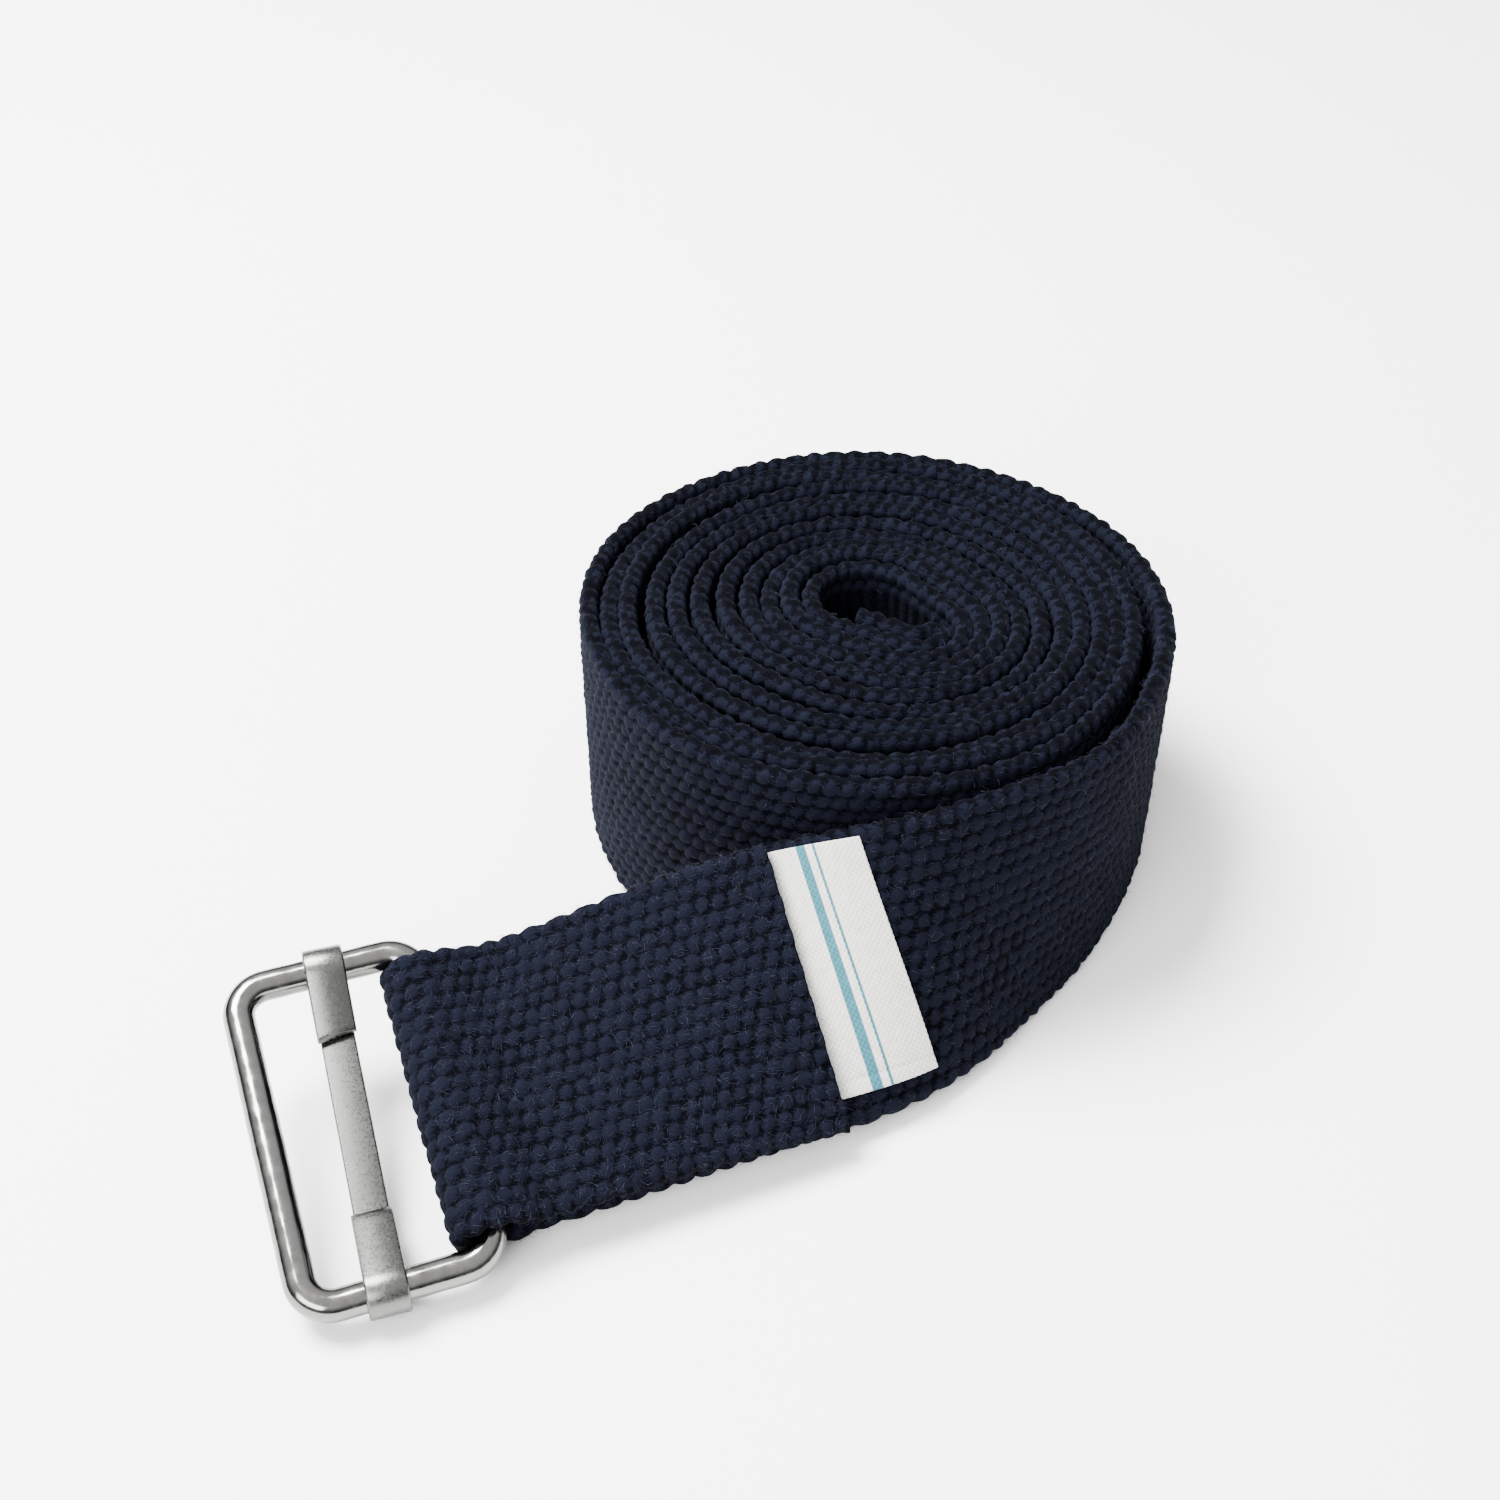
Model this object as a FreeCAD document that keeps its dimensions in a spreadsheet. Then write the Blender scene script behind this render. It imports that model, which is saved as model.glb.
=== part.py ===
"""Cotton yoga strap, rolled up on its edge, with a sliding-bar buckle and a sewn label.

The strap is one length of woven cotton webbing. From its buckle end inwards it is: a loop round the
buckle's back bar, two plies sewn together, a single ply that twists up on to its edge (the lead), a
loose outer turn, and the tight inner turns that end in a hem. Millimetres, +Z up. The origin is the
centre of the footprint on the surface that the strap stands on.
"""
import FreeCAD, Part, Sketcher
import math
import os

from FreeCAD import Placement, Rotation, Vector

SIZES = {
    "webbing_width": 38.0,          # 1.5 inch webbing
    "webbing_thickness": 2.4,
    "outer_radius": 41.8,           # outer face of the loose outer turn
    "turn_gap": 0.6,                # between the turns of the tight roll
    "loose_slack": 0.9,             # extra radius lost in each half of the loose outer turn
    "core_radius": 8.0,             # no turn's outer face is smaller than this
    "hem_length": 14.0,
    "wire_diameter": 4.0,           # buckle frame's wire
    "rail_room": 2.0,               # strap's width to the buckle's inner width
    "bar_spacing": 23.0,            # back bar axis to far bar axis
    "corner_radius": 3.8,           # of the wire's axis
    "loop_clearance": 0.5,          # back bar in its loop of webbing
    "curl_clearance": 0.3,          # rail in the slide bar's curl
    "slide_thickness": 1.2,
    "slide_width": 4.5,
    "curl_width": 6.0,
    "lap_reach": 9.5,               # rail axis to the end of the strip lapped back over it
    "lap_bite": 0.05,               # lap's end pressed into the strip
    "slide_offset": 12.0,           # back bar axis to slide bar axis
    "loop_length": 12.0,            # fold to the loop's seam
    "doubled_length": 52.4,         # fold to the upper ply's end
    "buckle_tilt": 17.8,            # degrees, far edge up
    "label_width": 14.5,
    "label_length": 33.0,
    "label_thickness": 0.35,
    "tape_room": 0.1,
    "label_inset": 4.0,             # label's end to the strap's near edge
    "label_seam_allowance": 4.0,    # label tape held under the upper ply
    "label_gap": 0.5,               # upper ply's end to the label's free part
    "thread_diameter": 0.5,
    "stitch_pitch": 3.0,
    "stitch_length": 2.2,
    "seam_inset": 3.0,              # end seam to the upper ply's end
    "roll_clearance": 1.165,        # strap's far edge to the roll, beside it
    "floor_gap": 0.2,               # lower edge of the lead above the surface
}

doc = FreeCAD.newDocument("yoga_strap")
sheet = doc.addObject("Spreadsheet::Sheet", "sizes")
for row, (name, number) in enumerate(SIZES.items(), start=1):
    sheet.set("A%d" % row, name)
    sheet.set("B%d" % row, str(number))
    sheet.setAlias("B%d" % row, name)
doc.recompute()


def size(name):
    """A driving size, read from the sheet."""
    return float(sheet.get(name))


width = size("webbing_width")
thick = size("webbing_thickness")
tape = size("label_thickness")
ply_gap = tape + size("tape_room")  # between the plies, round the label's tape
wire_radius = size("wire_diameter") / 2
loop_radius = wire_radius + size("loop_clearance")
curl_inner = wire_radius + size("curl_clearance")
rail_spacing = width + size("wire_diameter") + size("rail_room")
RAIL_SPACING = "(sizes.webbing_width + sizes.wire_diameter + sizes.rail_room)"
CURL_INNER = "sizes.wire_diameter / 2 + sizes.curl_clearance"
UP = Vector(0, 0, 1)


def smooth(x):
    """Smoothstep from 0 to 1."""
    x = min(max(x, 0.0), 1.0)
    return x * x * (3 - 2 * x)


# ---- the strap's path on the surface ------------------------------------------------------------
# Read from the fold towards the roll: (length, turn in degrees) of each run of the near edge. The last
# bend is wider than the roll, and lays the strap against the outer turn. The straight run before it
# is as long as it must be for the far edge, which lies low there, to clear the roll.
FIRST_RUNS = [(14.0, 0.0), (6.0, 3.0), (32.8, 0.0), (26.0, 27.0)]
LAST_RUN = (31.5, 20.0)
SHORTEST_STRAIGHT, LONGEST_STRAIGHT = 1.0, 200.0
TWIST_START = 14.0                  # the strap starts to rise on to its edge
TWIST_END = 110.0                   # and stands upright
LEVEL_END = 45.0                    # where the near edge has come down to the surface
path_turn = sum(turn for length, turn in FIRST_RUNS) + LAST_RUN[1]
tilt = math.radians(size("buckle_tilt"))
join_angle = math.radians(path_turn - 90)       # where the lead meets the outer turn's circle


def step(point, heading, length, turn):
    """Point and heading after a straight run or an arc that turns left."""
    if turn == 0:
        return point + Vector(math.cos(heading), math.sin(heading), 0) * length, heading
    radius = length / turn
    centre = point + Vector(-math.sin(heading), math.cos(heading), 0) * radius
    heading += turn
    return centre + Vector(math.sin(heading), -math.cos(heading), 0) * radius, heading


def run_along(distance, runs):
    """Point and heading of the near edge, from the fold at (0, 0) with heading +X."""
    point, heading = Vector(), 0.0
    for length, turn in runs:
        part = min(distance, length)
        point, heading = step(point, heading, part, math.radians(turn) * part / length)
        distance -= part
        if distance <= 0:
            break
    return point, heading


def lean_at(distance):
    """Angle of the strap's cross direction above the surface."""
    twist = smooth((distance - TWIST_START) / (TWIST_END - TWIST_START))
    return tilt + (math.pi / 2 - tilt) * twist


def room_beside_roll(straight):
    """Least distance in plan from the far edge to the roll, up to the last bend."""
    runs = FIRST_RUNS + [(straight, 0.0), LAST_RUN]
    bend_start = sum(length for length, turn in runs[:-1])
    toward_join = Vector(math.cos(join_angle), math.sin(join_angle), 0)
    axis = run_along(bend_start + LAST_RUN[0], runs)[0] - toward_join * first_radius
    room = []
    for distance in range(int(bend_start)):
        point, heading = run_along(distance, runs)
        left = Vector(-math.sin(heading), math.cos(heading), 0)
        far_edge = point + left * width * math.cos(lean_at(distance))
        room.append((far_edge - axis).Length - first_radius)
    return min(room)


def straight_run():
    """Shortest straight run that leaves the roll's clearance, found by halving."""
    low, high = SHORTEST_STRAIGHT, LONGEST_STRAIGHT
    while high - low > 1e-4:
        middle = (low + high) / 2
        if room_beside_roll(middle) < size("roll_clearance"):
            low = middle
        else:
            high = middle
    return high


# The fold's place follows from the roll's: the lead ends on the outer turn.
first_radius = size("outer_radius")
RUNS = FIRST_RUNS + [(straight_run(), 0.0), LAST_RUN]
path_length = sum(length for length, turn in RUNS)
path_end = run_along(path_length, RUNS)[0]
loop_stack = 2 * (loop_radius + thick)          # webbing, bar and webbing
frame_reach = thick + loop_radius - size("bar_spacing") - wire_radius
end_on_roll = Vector(math.cos(join_angle), math.sin(join_angle), 0) * first_radius
fold_from_roll = end_on_roll - path_end         # roll axis to the near edge at the fold
far_bar_outer = fold_from_roll.x + frame_reach
roll_axis = Vector(-(first_radius + far_bar_outer) / 2, 0, 0)

curl_radius = curl_inner + size("slide_thickness")
curl_overhang = (rail_spacing - width) / 2
near_side = fold_from_roll.y - curl_overhang * math.cos(tilt) - curl_radius
roll_axis.y = -(first_radius + near_side) / 2
fold_point = roll_axis + fold_from_roll


def strap_point(distance, across, out):
    """Point of the strap: distance from the fold along the near edge, distance across from that edge,
    and distance out of the lower ply's upper face."""
    point, heading = run_along(min(distance, path_length), RUNS)
    if distance > path_length:
        angle = (distance - path_length) / first_radius
        turn = angle + join_angle
        point = roll_axis + Vector(math.cos(turn), math.sin(turn), 0) * first_radius
        heading += angle
    else:
        point = point + fold_point
    lean = lean_at(distance)
    level = 1 - smooth((distance - size("loop_length")) / (LEVEL_END - size("loop_length")))
    left = Vector(-math.sin(heading), math.cos(heading), 0)
    along = Vector(math.cos(heading), math.sin(heading), 0)
    cross = left * math.cos(lean) + UP * math.sin(lean)
    face = along.cross(cross)
    raised = (loop_stack / 2 - ply_gap / 2 - thick) * math.cos(tilt) * level
    base = point + UP * (thick * math.cos(lean) + size("floor_gap") + raised)
    return base + cross * across + face * out


def strap_axes(distance):
    """Directions along, across and out of the strap."""
    here = strap_point(distance, 0, 0)
    cross = strap_point(distance, 1, 0) - here
    face = strap_point(distance, 0, 1) - here
    return cross.cross(face), cross, face


def ribbon(start, end, near, far, inner, outer, spacing=2.5):
    """Closed solid of a stretch of the strap, lofted through cross sections."""
    count = max(2, int(math.ceil((end - start) / spacing)) + 1)
    wires = []
    for index in range(count):
        at = start + (end - start) * index / (count - 1)
        corners = [strap_point(at, near, inner), strap_point(at, far, inner),
                   strap_point(at, far, outer), strap_point(at, near, outer)]
        wires.append(Part.makePolygon(corners + corners[:1]))
    return Part.makeLoft(wires, True, False)


def feature(name, shape, place=Placement()):
    """Part::Feature with the shape and a Label that names its file."""
    item = doc.addObject("Part::Feature", name)
    item.Label = name
    item.Shape = shape
    item.Placement = place
    return item


# ---- webbing: the roll ----------------------------------------------------------------------------
OUTER_TURN_HALVES = 2


def half_turns():
    """(centre x, outer face radius, starts at +X) of each half turn, outermost first."""
    radius, centre = first_radius, 0.0
    turns = []
    while radius >= size("core_radius"):
        forward = len(turns) % 2 == 0
        slack = size("loose_slack") if len(turns) < OUTER_TURN_HALVES else 0.0
        turns.append((centre, radius, forward))
        lost = (thick + size("turn_gap")) / 2 + slack
        centre += -lost if forward else lost
        radius -= lost
    return turns


def half_circle(centre, radius, forward):
    """Half circle about a centre on the roll's X axis, anticlockwise."""
    axis = roll_axis + Vector(centre, 0, 0)
    side = 1 if forward else -1
    return Part.Arc(axis + Vector(radius * side, 0, 0), axis + Vector(0, radius * side, 0),
                    axis + Vector(-radius * side, 0, 0)).toShape()


def coil(turns):
    """Spiral wall of these half turns, standing on the surface."""
    outside = [half_circle(c, r, f) for c, r, f in turns]
    inside = [half_circle(c, r - thick, f) for c, r, f in turns]
    ends = []
    for (centre, radius, forward), at_start in ((turns[0], True), (turns[-1], False)):
        side = 1 if forward == at_start else -1
        axis = roll_axis + Vector(centre, 0, 0)
        ends.append(Part.makeLine(axis + Vector(radius * side, 0, 0),
                                  axis + Vector((radius - thick) * side, 0, 0)))
    wire = Part.Wire(Part.__sortEdges__(outside + inside + ends))
    return Part.Face(wire).extrude(UP * width)


roll_turns = half_turns()


def hem_ply():
    """The free end turned back on the inside of the last half turn."""
    centre, radius, forward = roll_turns[-1]
    outer = radius - thick
    inner = outer - thick
    angle = size("hem_length") / (outer - thick / 2)
    side = -1 if forward else 1
    axis = roll_axis + Vector(centre, 0, 0)

    def at(reach, turn):
        return axis + Vector(side * reach * math.cos(turn), side * reach * math.sin(turn), 0)

    edges = [Part.Arc(at(outer, 0), at(outer, -angle / 2), at(outer, -angle)).toShape(),
             Part.makeLine(at(outer, -angle), at(inner, -angle)),
             Part.Arc(at(inner, -angle), at(inner, -angle / 2), at(inner, 0)).toShape(),
             Part.makeLine(at(inner, 0), at(outer, 0))]
    return Part.Face(Part.Wire(edges)).extrude(UP * width), axis, inner, angle, side


feature("webbing_outer_turn", coil(roll_turns[:OUTER_TURN_HALVES]))
feature("webbing_inner_turns", coil(roll_turns[OUTER_TURN_HALVES:]))
hem_shape, hem_axis, hem_inner, hem_angle, hem_side = hem_ply()
feature("webbing_free_end_hem", hem_shape)

# ---- webbing: lead, plies and loop ----------------------------------------------------------------
roll_start = path_length - join_angle * first_radius    # where the outer turn's first half begins
seam_at = size("loop_length")
ply_end = size("doubled_length")
feature("webbing_lead", ribbon(ply_end, roll_start, 0, width, -thick, 0))
feature("webbing_lower_ply", ribbon(seam_at, ply_end, 0, width, -thick, 0))
feature("webbing_upper_ply", ribbon(seam_at, ply_end, 0, width, ply_gap, ply_gap + thick))

bar_reach = thick + loop_radius                 # fold to the back bar's axis
bar_out = ply_gap / 2


def tangent_point(radius, target, side):
    """Where a line from target touches the circle of this radius about the back bar."""
    away = target - Vector(bar_reach, bar_out, 0)
    angle = math.atan2(away.y, away.x) + side * math.acos(radius / away.Length)
    return Vector(bar_reach + radius * math.cos(angle), bar_out + radius * math.sin(angle), 0)


def teardrop(radius, low, high):
    """Face bounded by a circle about the bar and its tangents to the seam, in (along, out)."""
    bottom, top = Vector(seam_at, low, 0), Vector(seam_at, high, 0)
    touch_bottom = tangent_point(radius, bottom, -1)
    touch_top = tangent_point(radius, top, 1)
    edges = [Part.makeLine(bottom, touch_bottom),
             Part.Arc(touch_bottom, Vector(bar_reach - radius, bar_out, 0), touch_top).toShape(),
             Part.makeLine(touch_top, top),
             Part.makeLine(top, bottom)]
    return Part.Face(Part.Wire(edges))


loop_face = teardrop(loop_radius + thick, -thick, ply_gap + thick).cut(
    teardrop(loop_radius, 0, ply_gap))
along, cross, face = strap_axes(0)
loop_place = Placement(strap_point(0, 0, 0), Rotation(along, face, -cross, "XYZ"))
feature("webbing_loop", loop_face.extrude(Vector(0, 0, -width)), loop_place)

# ---- buckle ---------------------------------------------------------------------------------------
bar_centre = strap_point(bar_reach, width / 2, bar_out)
buckle_place = Placement(bar_centre, Rotation(Vector(1, 0, 0), size("buckle_tilt")))


def primitive(kind, name, expressions, place):
    """Part primitive with bound sizes."""
    item = doc.addObject(kind, name)
    item.Placement = place
    for prop, rule in expressions.items():
        item.setExpression(prop, rule)
    return item


ALONG_Y = Rotation(Vector(1, 0, 0), -90)
ALONG_X = Rotation(Vector(0, 1, 0), 90)
frame_pieces = []
for name, x_rule in (("back_bar", "0"), ("far_bar", "-sizes.bar_spacing")):
    frame_pieces.append(primitive("Part::Cylinder", name, {
        "Radius": "sizes.wire_diameter / 2",
        "Height": RAIL_SPACING + " - 2 * sizes.corner_radius",
        "Placement.Base.x": x_rule,
        "Placement.Base.y": "sizes.corner_radius - %s / 2" % RAIL_SPACING,
    }, Placement(Vector(), ALONG_Y)))
for name, sign in (("near_rail", "-"), ("far_rail", "")):
    frame_pieces.append(primitive("Part::Cylinder", name, {
        "Radius": "sizes.wire_diameter / 2",
        "Height": "sizes.bar_spacing - 2 * sizes.corner_radius",
        "Placement.Base.x": "sizes.corner_radius - sizes.bar_spacing",
        "Placement.Base.y": "%s%s / 2" % (sign, RAIL_SPACING),
    }, Placement(Vector(), ALONG_X)))
BACK = "-sizes.corner_radius"
FAR = "sizes.corner_radius - sizes.bar_spacing"
LEFT = "%s / 2 - sizes.corner_radius" % RAIL_SPACING
RIGHT = "sizes.corner_radius - %s / 2" % RAIL_SPACING
for number, (quarter, x_rule, y_rule) in enumerate((
        (0, BACK, LEFT), (90, FAR, LEFT), (180, FAR, RIGHT), (270, BACK, RIGHT))):
    frame_pieces.append(primitive("Part::Torus", "corner_%d" % number, {
        "Radius1": "sizes.corner_radius",
        "Radius2": "sizes.wire_diameter / 2",
        "Angle3": "90",
        "Placement.Base.x": x_rule,
        "Placement.Base.y": y_rule,
    }, Placement(Vector(), Rotation(UP, quarter))))
frame = doc.addObject("Part::MultiFuse", "buckle_frame")
frame.Label = "buckle_frame"
frame.Shapes = frame_pieces
frame.Placement = buckle_place


def origin_plane(body, role):
    """One of a body's own origin planes."""
    return next(item for item in body.Origin.OriginFeatures if item.Role == role)


def sketch_on(body, name, role):
    """Sketch on a plane of the body's origin."""
    sketch = body.newObject("Sketcher::SketchObject", name)
    sketch.AttachmentSupport = [(origin_plane(body, role), "")]
    sketch.MapMode = "FlatFace"
    return sketch


def constrain(sketch, name, rule, *details):
    """Named dimension bound to the sheet."""
    index = sketch.addConstraint(Sketcher.Constraint(*details))
    sketch.renameConstraint(index, name)
    sketch.setExpression("Constraints." + name, rule)


def symmetric_pad(body, name, sketch, rule):
    """Pad to both sides of its sketch."""
    pad = body.newObject("PartDesign::Pad", name)
    pad.Profile = sketch
    pad.SideType = "Symmetric"
    pad.setExpression("Length", rule)
    return pad


def curl_profile(sketch, side):
    """Band that goes under a rail, up round its outside and back over it on to the strip.

    side is +1 at the far rail and -1 at the near one. The band is drawn about the rail's axis.
    """
    rail = rail_spacing / 2 * side
    inner, outer = curl_inner, curl_radius
    middle = (inner + outer) / 2
    reach, drop = -size("lap_reach"), -middle
    lap_angle = math.atan2(drop, reach) % (2 * math.pi) - math.acos(middle / math.hypot(reach, drop))
    normal = Vector(math.cos(lap_angle), math.sin(lap_angle), 0)
    end = Vector(reach, drop, 0)
    half = normal * (size("slide_thickness") / 2)

    def flip(point):
        return Vector(rail + point.x * side, point.y, 0)

    def arc(radius):
        centre = Vector(rail, 0, 0)
        if side > 0:
            return Part.ArcOfCircle(Part.Circle(centre, UP, radius), -math.pi / 2, lap_angle)
        return Part.ArcOfCircle(Part.Circle(centre, UP, radius), math.pi - lap_angle, 1.5 * math.pi)

    first, last = (1, 2) if side > 0 else (2, 1)
    wide = sketch.addGeometry(arc(outer), False)
    tight = sketch.addGeometry(arc(inner), False)
    over = sketch.addGeometry(Part.LineSegment(flip(normal * outer), flip(end + half)), False)
    under = sketch.addGeometry(Part.LineSegment(flip(normal * inner), flip(end - half)), False)
    cap = sketch.addGeometry(Part.LineSegment(flip(end + half), flip(end - half)), False)
    foot = sketch.addGeometry(Part.LineSegment(flip(Vector(0, -outer, 0)), flip(Vector(0, -inner, 0))),
                              False)
    for rule in (("Tangent", wide, last, over, 1), ("Tangent", tight, last, under, 1),
                 ("Coincident", over, 2, cap, 1), ("Coincident", under, 2, cap, 2),
                 ("Coincident", wide, first, foot, 1), ("Coincident", tight, first, foot, 2),
                 ("Coincident", wide, 3, tight, 3), ("Vertical", foot),
                 ("PointOnObject", wide, 3, -1), ("Perpendicular", cap, over), ("Parallel", over, under),
                 ("Vertical", wide, 3, foot, 1)):
        sketch.addConstraint(Sketcher.Constraint(*rule))
    constrain(sketch, "outer_curl", CURL_INNER + " + sizes.slide_thickness", "Radius", wide, outer)
    constrain(sketch, "inner_curl", CURL_INNER, "Radius", tight, inner)
    rail_ends = (-1, 1, wide, 3) if side > 0 else (wide, 3, -1, 1)
    constrain(sketch, "rail_axis", RAIL_SPACING + " / 2", "DistanceX", *rail_ends, abs(rail))
    lap_ends = (under, 2, wide, 3) if side > 0 else (wide, 3, under, 2)
    constrain(sketch, "lap_reach", "sizes.lap_reach", "DistanceX", *lap_ends, size("lap_reach"))
    constrain(sketch, "lap_drop", CURL_INNER + " + sizes.lap_bite", "DistanceY", under, 2, wide, 3,
              inner + size("lap_bite"))


slide = doc.addObject("PartDesign::Body", "slide_bar")
slide.Label = "slide_bar"
strip = sketch_on(slide, "strip_section", "YZ_Plane")
half_span = rail_spacing / 2
corners = [Vector(-half_span, -curl_radius, 0), Vector(half_span, -curl_radius, 0),
           Vector(half_span, -curl_inner, 0), Vector(-half_span, -curl_inner, 0)]
for index in range(4):
    strip.addGeometry(Part.LineSegment(corners[index], corners[(index + 1) % 4]), False)
for index in range(4):
    strip.addConstraint(Sketcher.Constraint("Coincident", index, 2, (index + 1) % 4, 1))
for rule in (("Horizontal", 0), ("Vertical", 1), ("Vertical", 3), ("Symmetric", 2, 1, 2, 2, -2)):
    strip.addConstraint(Sketcher.Constraint(*rule))
constrain(strip, "span", RAIL_SPACING, "DistanceX", 0, 1, 0, 2, rail_spacing)
constrain(strip, "strip_thickness", "sizes.slide_thickness", "DistanceY", 1, 1, 1, 2,
          size("slide_thickness"))
constrain(strip, "below_rail", CURL_INNER, "DistanceY", 2, 1, -1, 1, curl_inner)
symmetric_pad(slide, "strip_pad", strip, "sizes.slide_width")
for name, side in (("far_curl", 1), ("near_curl", -1)):
    band = sketch_on(slide, name + "_section", "YZ_Plane")
    curl_profile(band, side)
    symmetric_pad(slide, name + "_pad", band, "sizes.curl_width")
slide_shift = Placement(Vector(-size("slide_offset"), 0, 0), Rotation())
slide.Placement = buckle_place.multiply(slide_shift)

# ---- label ----------------------------------------------------------------------------------------
TAPE_GAP = 0.20                     # label's free part above the lead
SEWN_TAPE_GAP = 0.05                # and its sewn edge above the lower ply
label_near = size("label_inset")
label_far = label_near + size("label_length")
label_start = ply_end + size("label_gap")
feature("label", ribbon(label_start, label_start + size("label_width"), label_near, label_far,
                        TAPE_GAP, TAPE_GAP + tape))
feature("label_sewn_edge", ribbon(ply_end - size("label_seam_allowance"), ply_end,
                                  label_near, label_far, SEWN_TAPE_GAP, SEWN_TAPE_GAP + tape))

# ---- sewing threads -------------------------------------------------------------------------------
thread_radius = size("thread_diameter") / 2
STITCH_LIFT = 0.06                  # thread clear of the webbing's face


def stitch(middle, direction):
    """One visible stitch: a short rod of thread."""
    start = middle - direction * (size("stitch_length") / 2)
    return Part.makeCylinder(thread_radius, size("stitch_length"), start, direction)


def seam(distance, out):
    """Row of stitches across the strap."""
    along, cross, face = strap_axes(distance)
    count = int((width - size("stitch_pitch")) / size("stitch_pitch"))
    first = (width - (count - 1) * size("stitch_pitch")) / 2
    return Part.makeCompound([stitch(strap_point(distance, first + index * size("stitch_pitch"), out),
                                     cross) for index in range(count)])


over_plies = ply_gap + thick + thread_radius + STITCH_LIFT
under_plies = -thick - thread_radius - STITCH_LIFT
loop_seam_at = seam_at + size("thread_diameter")
end_seam_at = ply_end - size("seam_inset")
feature("loop_seam_needle_thread", seam(loop_seam_at, over_plies))
feature("loop_seam_bobbin_thread", seam(loop_seam_at, under_plies))
feature("end_seam_needle_thread", seam(end_seam_at, over_plies))
feature("end_seam_bobbin_thread", seam(end_seam_at, under_plies))


def hem_seam(reach):
    """Upright row of stitches at the middle of the hem."""
    turn = -hem_angle / 2
    spot = hem_axis + Vector(hem_side * reach * math.cos(turn), hem_side * reach * math.sin(turn), 0)
    count = int((width - size("stitch_pitch")) / size("stitch_pitch"))
    first = (width - (count - 1) * size("stitch_pitch")) / 2
    return Part.makeCompound([stitch(spot + UP * (first + index * size("stitch_pitch")), UP)
                              for index in range(count)])


feature("hem_seam_needle_thread", hem_seam(hem_inner - thread_radius - STITCH_LIFT))
feature("hem_seam_bobbin_thread", hem_seam(hem_inner + 2 * thick + thread_radius + STITCH_LIFT))

# ---- check and write ------------------------------------------------------------------------------
doc.recompute()
for item in doc.Objects:
    if "Invalid" in item.State or "Error" in item.State:
        raise RuntimeError("%s failed: %s" % (item.Name, item.State))
nodes = [item for item in doc.Objects
         if item.TypeId in ("Part::Feature", "Part::MultiFuse", "PartDesign::Body")]
os.makedirs("parts", exist_ok=True)
for item in nodes:
    shape = item.Shape
    if shape.isNull() or not shape.isValid():
        raise RuntimeError("%s has no valid shape" % item.Label)
for item in nodes:
    item.Shape.exportStep("parts/%s.step" % item.Label)
    box = item.Shape.BoundBox
    print("%-26s solids %2d  volume %9.1f  x %.2f..%.2f  y %.2f..%.2f  z %.2f..%.2f" % (
        item.Label, len(item.Shape.Solids), item.Shape.Volume, box.XMin, box.XMax,
        box.YMin, box.YMax, box.ZMin, box.ZMax))
turn_total = sum(math.pi * (radius - thick / 2) for centre, radius, forward in roll_turns)
print("%d half turns, cut length of the webbing %.0f mm" % (
    len(roll_turns), turn_total + roll_start + ply_end + size("hem_length")))
print("roll axis %.3f, %.3f" % (roll_axis.x, roll_axis.y))
print("fold x %.3f" % fold_point.x)
label_line = strap_point(label_start, (label_near + label_far) / 2, TAPE_GAP + tape / 2)
for name, point, direction in (("back bar", bar_centre, strap_axes(0)[1]),
                               ("label seam", label_line, strap_axes(label_start)[1])):
    print("%s at %.3f, %.3f, %.3f along %.5f, %.5f, %.5f" % ((name,) + tuple(point) + tuple(direction)))
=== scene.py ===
# %% [markdown]
# # Cotton stretching strap, rolled on its edge
# The CAD part gives the places and sizes of the pieces. This notebook rebuilds the webbing as woven
# cloth, the buckle as worn metal and the label as cotton tape, all in the CAD part's frame, in metres.

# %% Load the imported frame
import math
import bpy
import numpy as np
from mathutils import Matrix, Vector


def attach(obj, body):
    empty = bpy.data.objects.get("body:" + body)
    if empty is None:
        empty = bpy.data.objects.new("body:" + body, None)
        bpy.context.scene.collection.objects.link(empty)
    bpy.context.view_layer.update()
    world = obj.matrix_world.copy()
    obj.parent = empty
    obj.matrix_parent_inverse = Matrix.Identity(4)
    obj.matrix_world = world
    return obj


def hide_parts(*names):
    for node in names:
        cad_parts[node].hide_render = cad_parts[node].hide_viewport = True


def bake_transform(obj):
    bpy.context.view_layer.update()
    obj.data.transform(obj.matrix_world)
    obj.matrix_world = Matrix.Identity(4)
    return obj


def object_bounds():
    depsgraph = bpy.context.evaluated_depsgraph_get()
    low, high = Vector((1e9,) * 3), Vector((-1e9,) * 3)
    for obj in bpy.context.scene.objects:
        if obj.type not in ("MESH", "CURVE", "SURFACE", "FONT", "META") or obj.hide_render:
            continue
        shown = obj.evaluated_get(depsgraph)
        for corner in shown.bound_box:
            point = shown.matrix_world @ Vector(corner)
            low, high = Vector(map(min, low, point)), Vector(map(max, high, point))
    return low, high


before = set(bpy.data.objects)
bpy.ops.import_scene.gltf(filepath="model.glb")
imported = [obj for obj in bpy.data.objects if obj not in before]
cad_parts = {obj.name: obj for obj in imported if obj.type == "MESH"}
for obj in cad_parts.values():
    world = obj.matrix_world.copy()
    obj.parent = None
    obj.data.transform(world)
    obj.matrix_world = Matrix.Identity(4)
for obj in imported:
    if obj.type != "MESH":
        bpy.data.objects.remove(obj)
cad_low, cad_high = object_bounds()
MM = 0.001
rng = np.random.default_rng(7)
print("CAD nodes:", len(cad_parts), "box", [round(v / MM, 1) for v in (*cad_low, *cad_high)])

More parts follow.
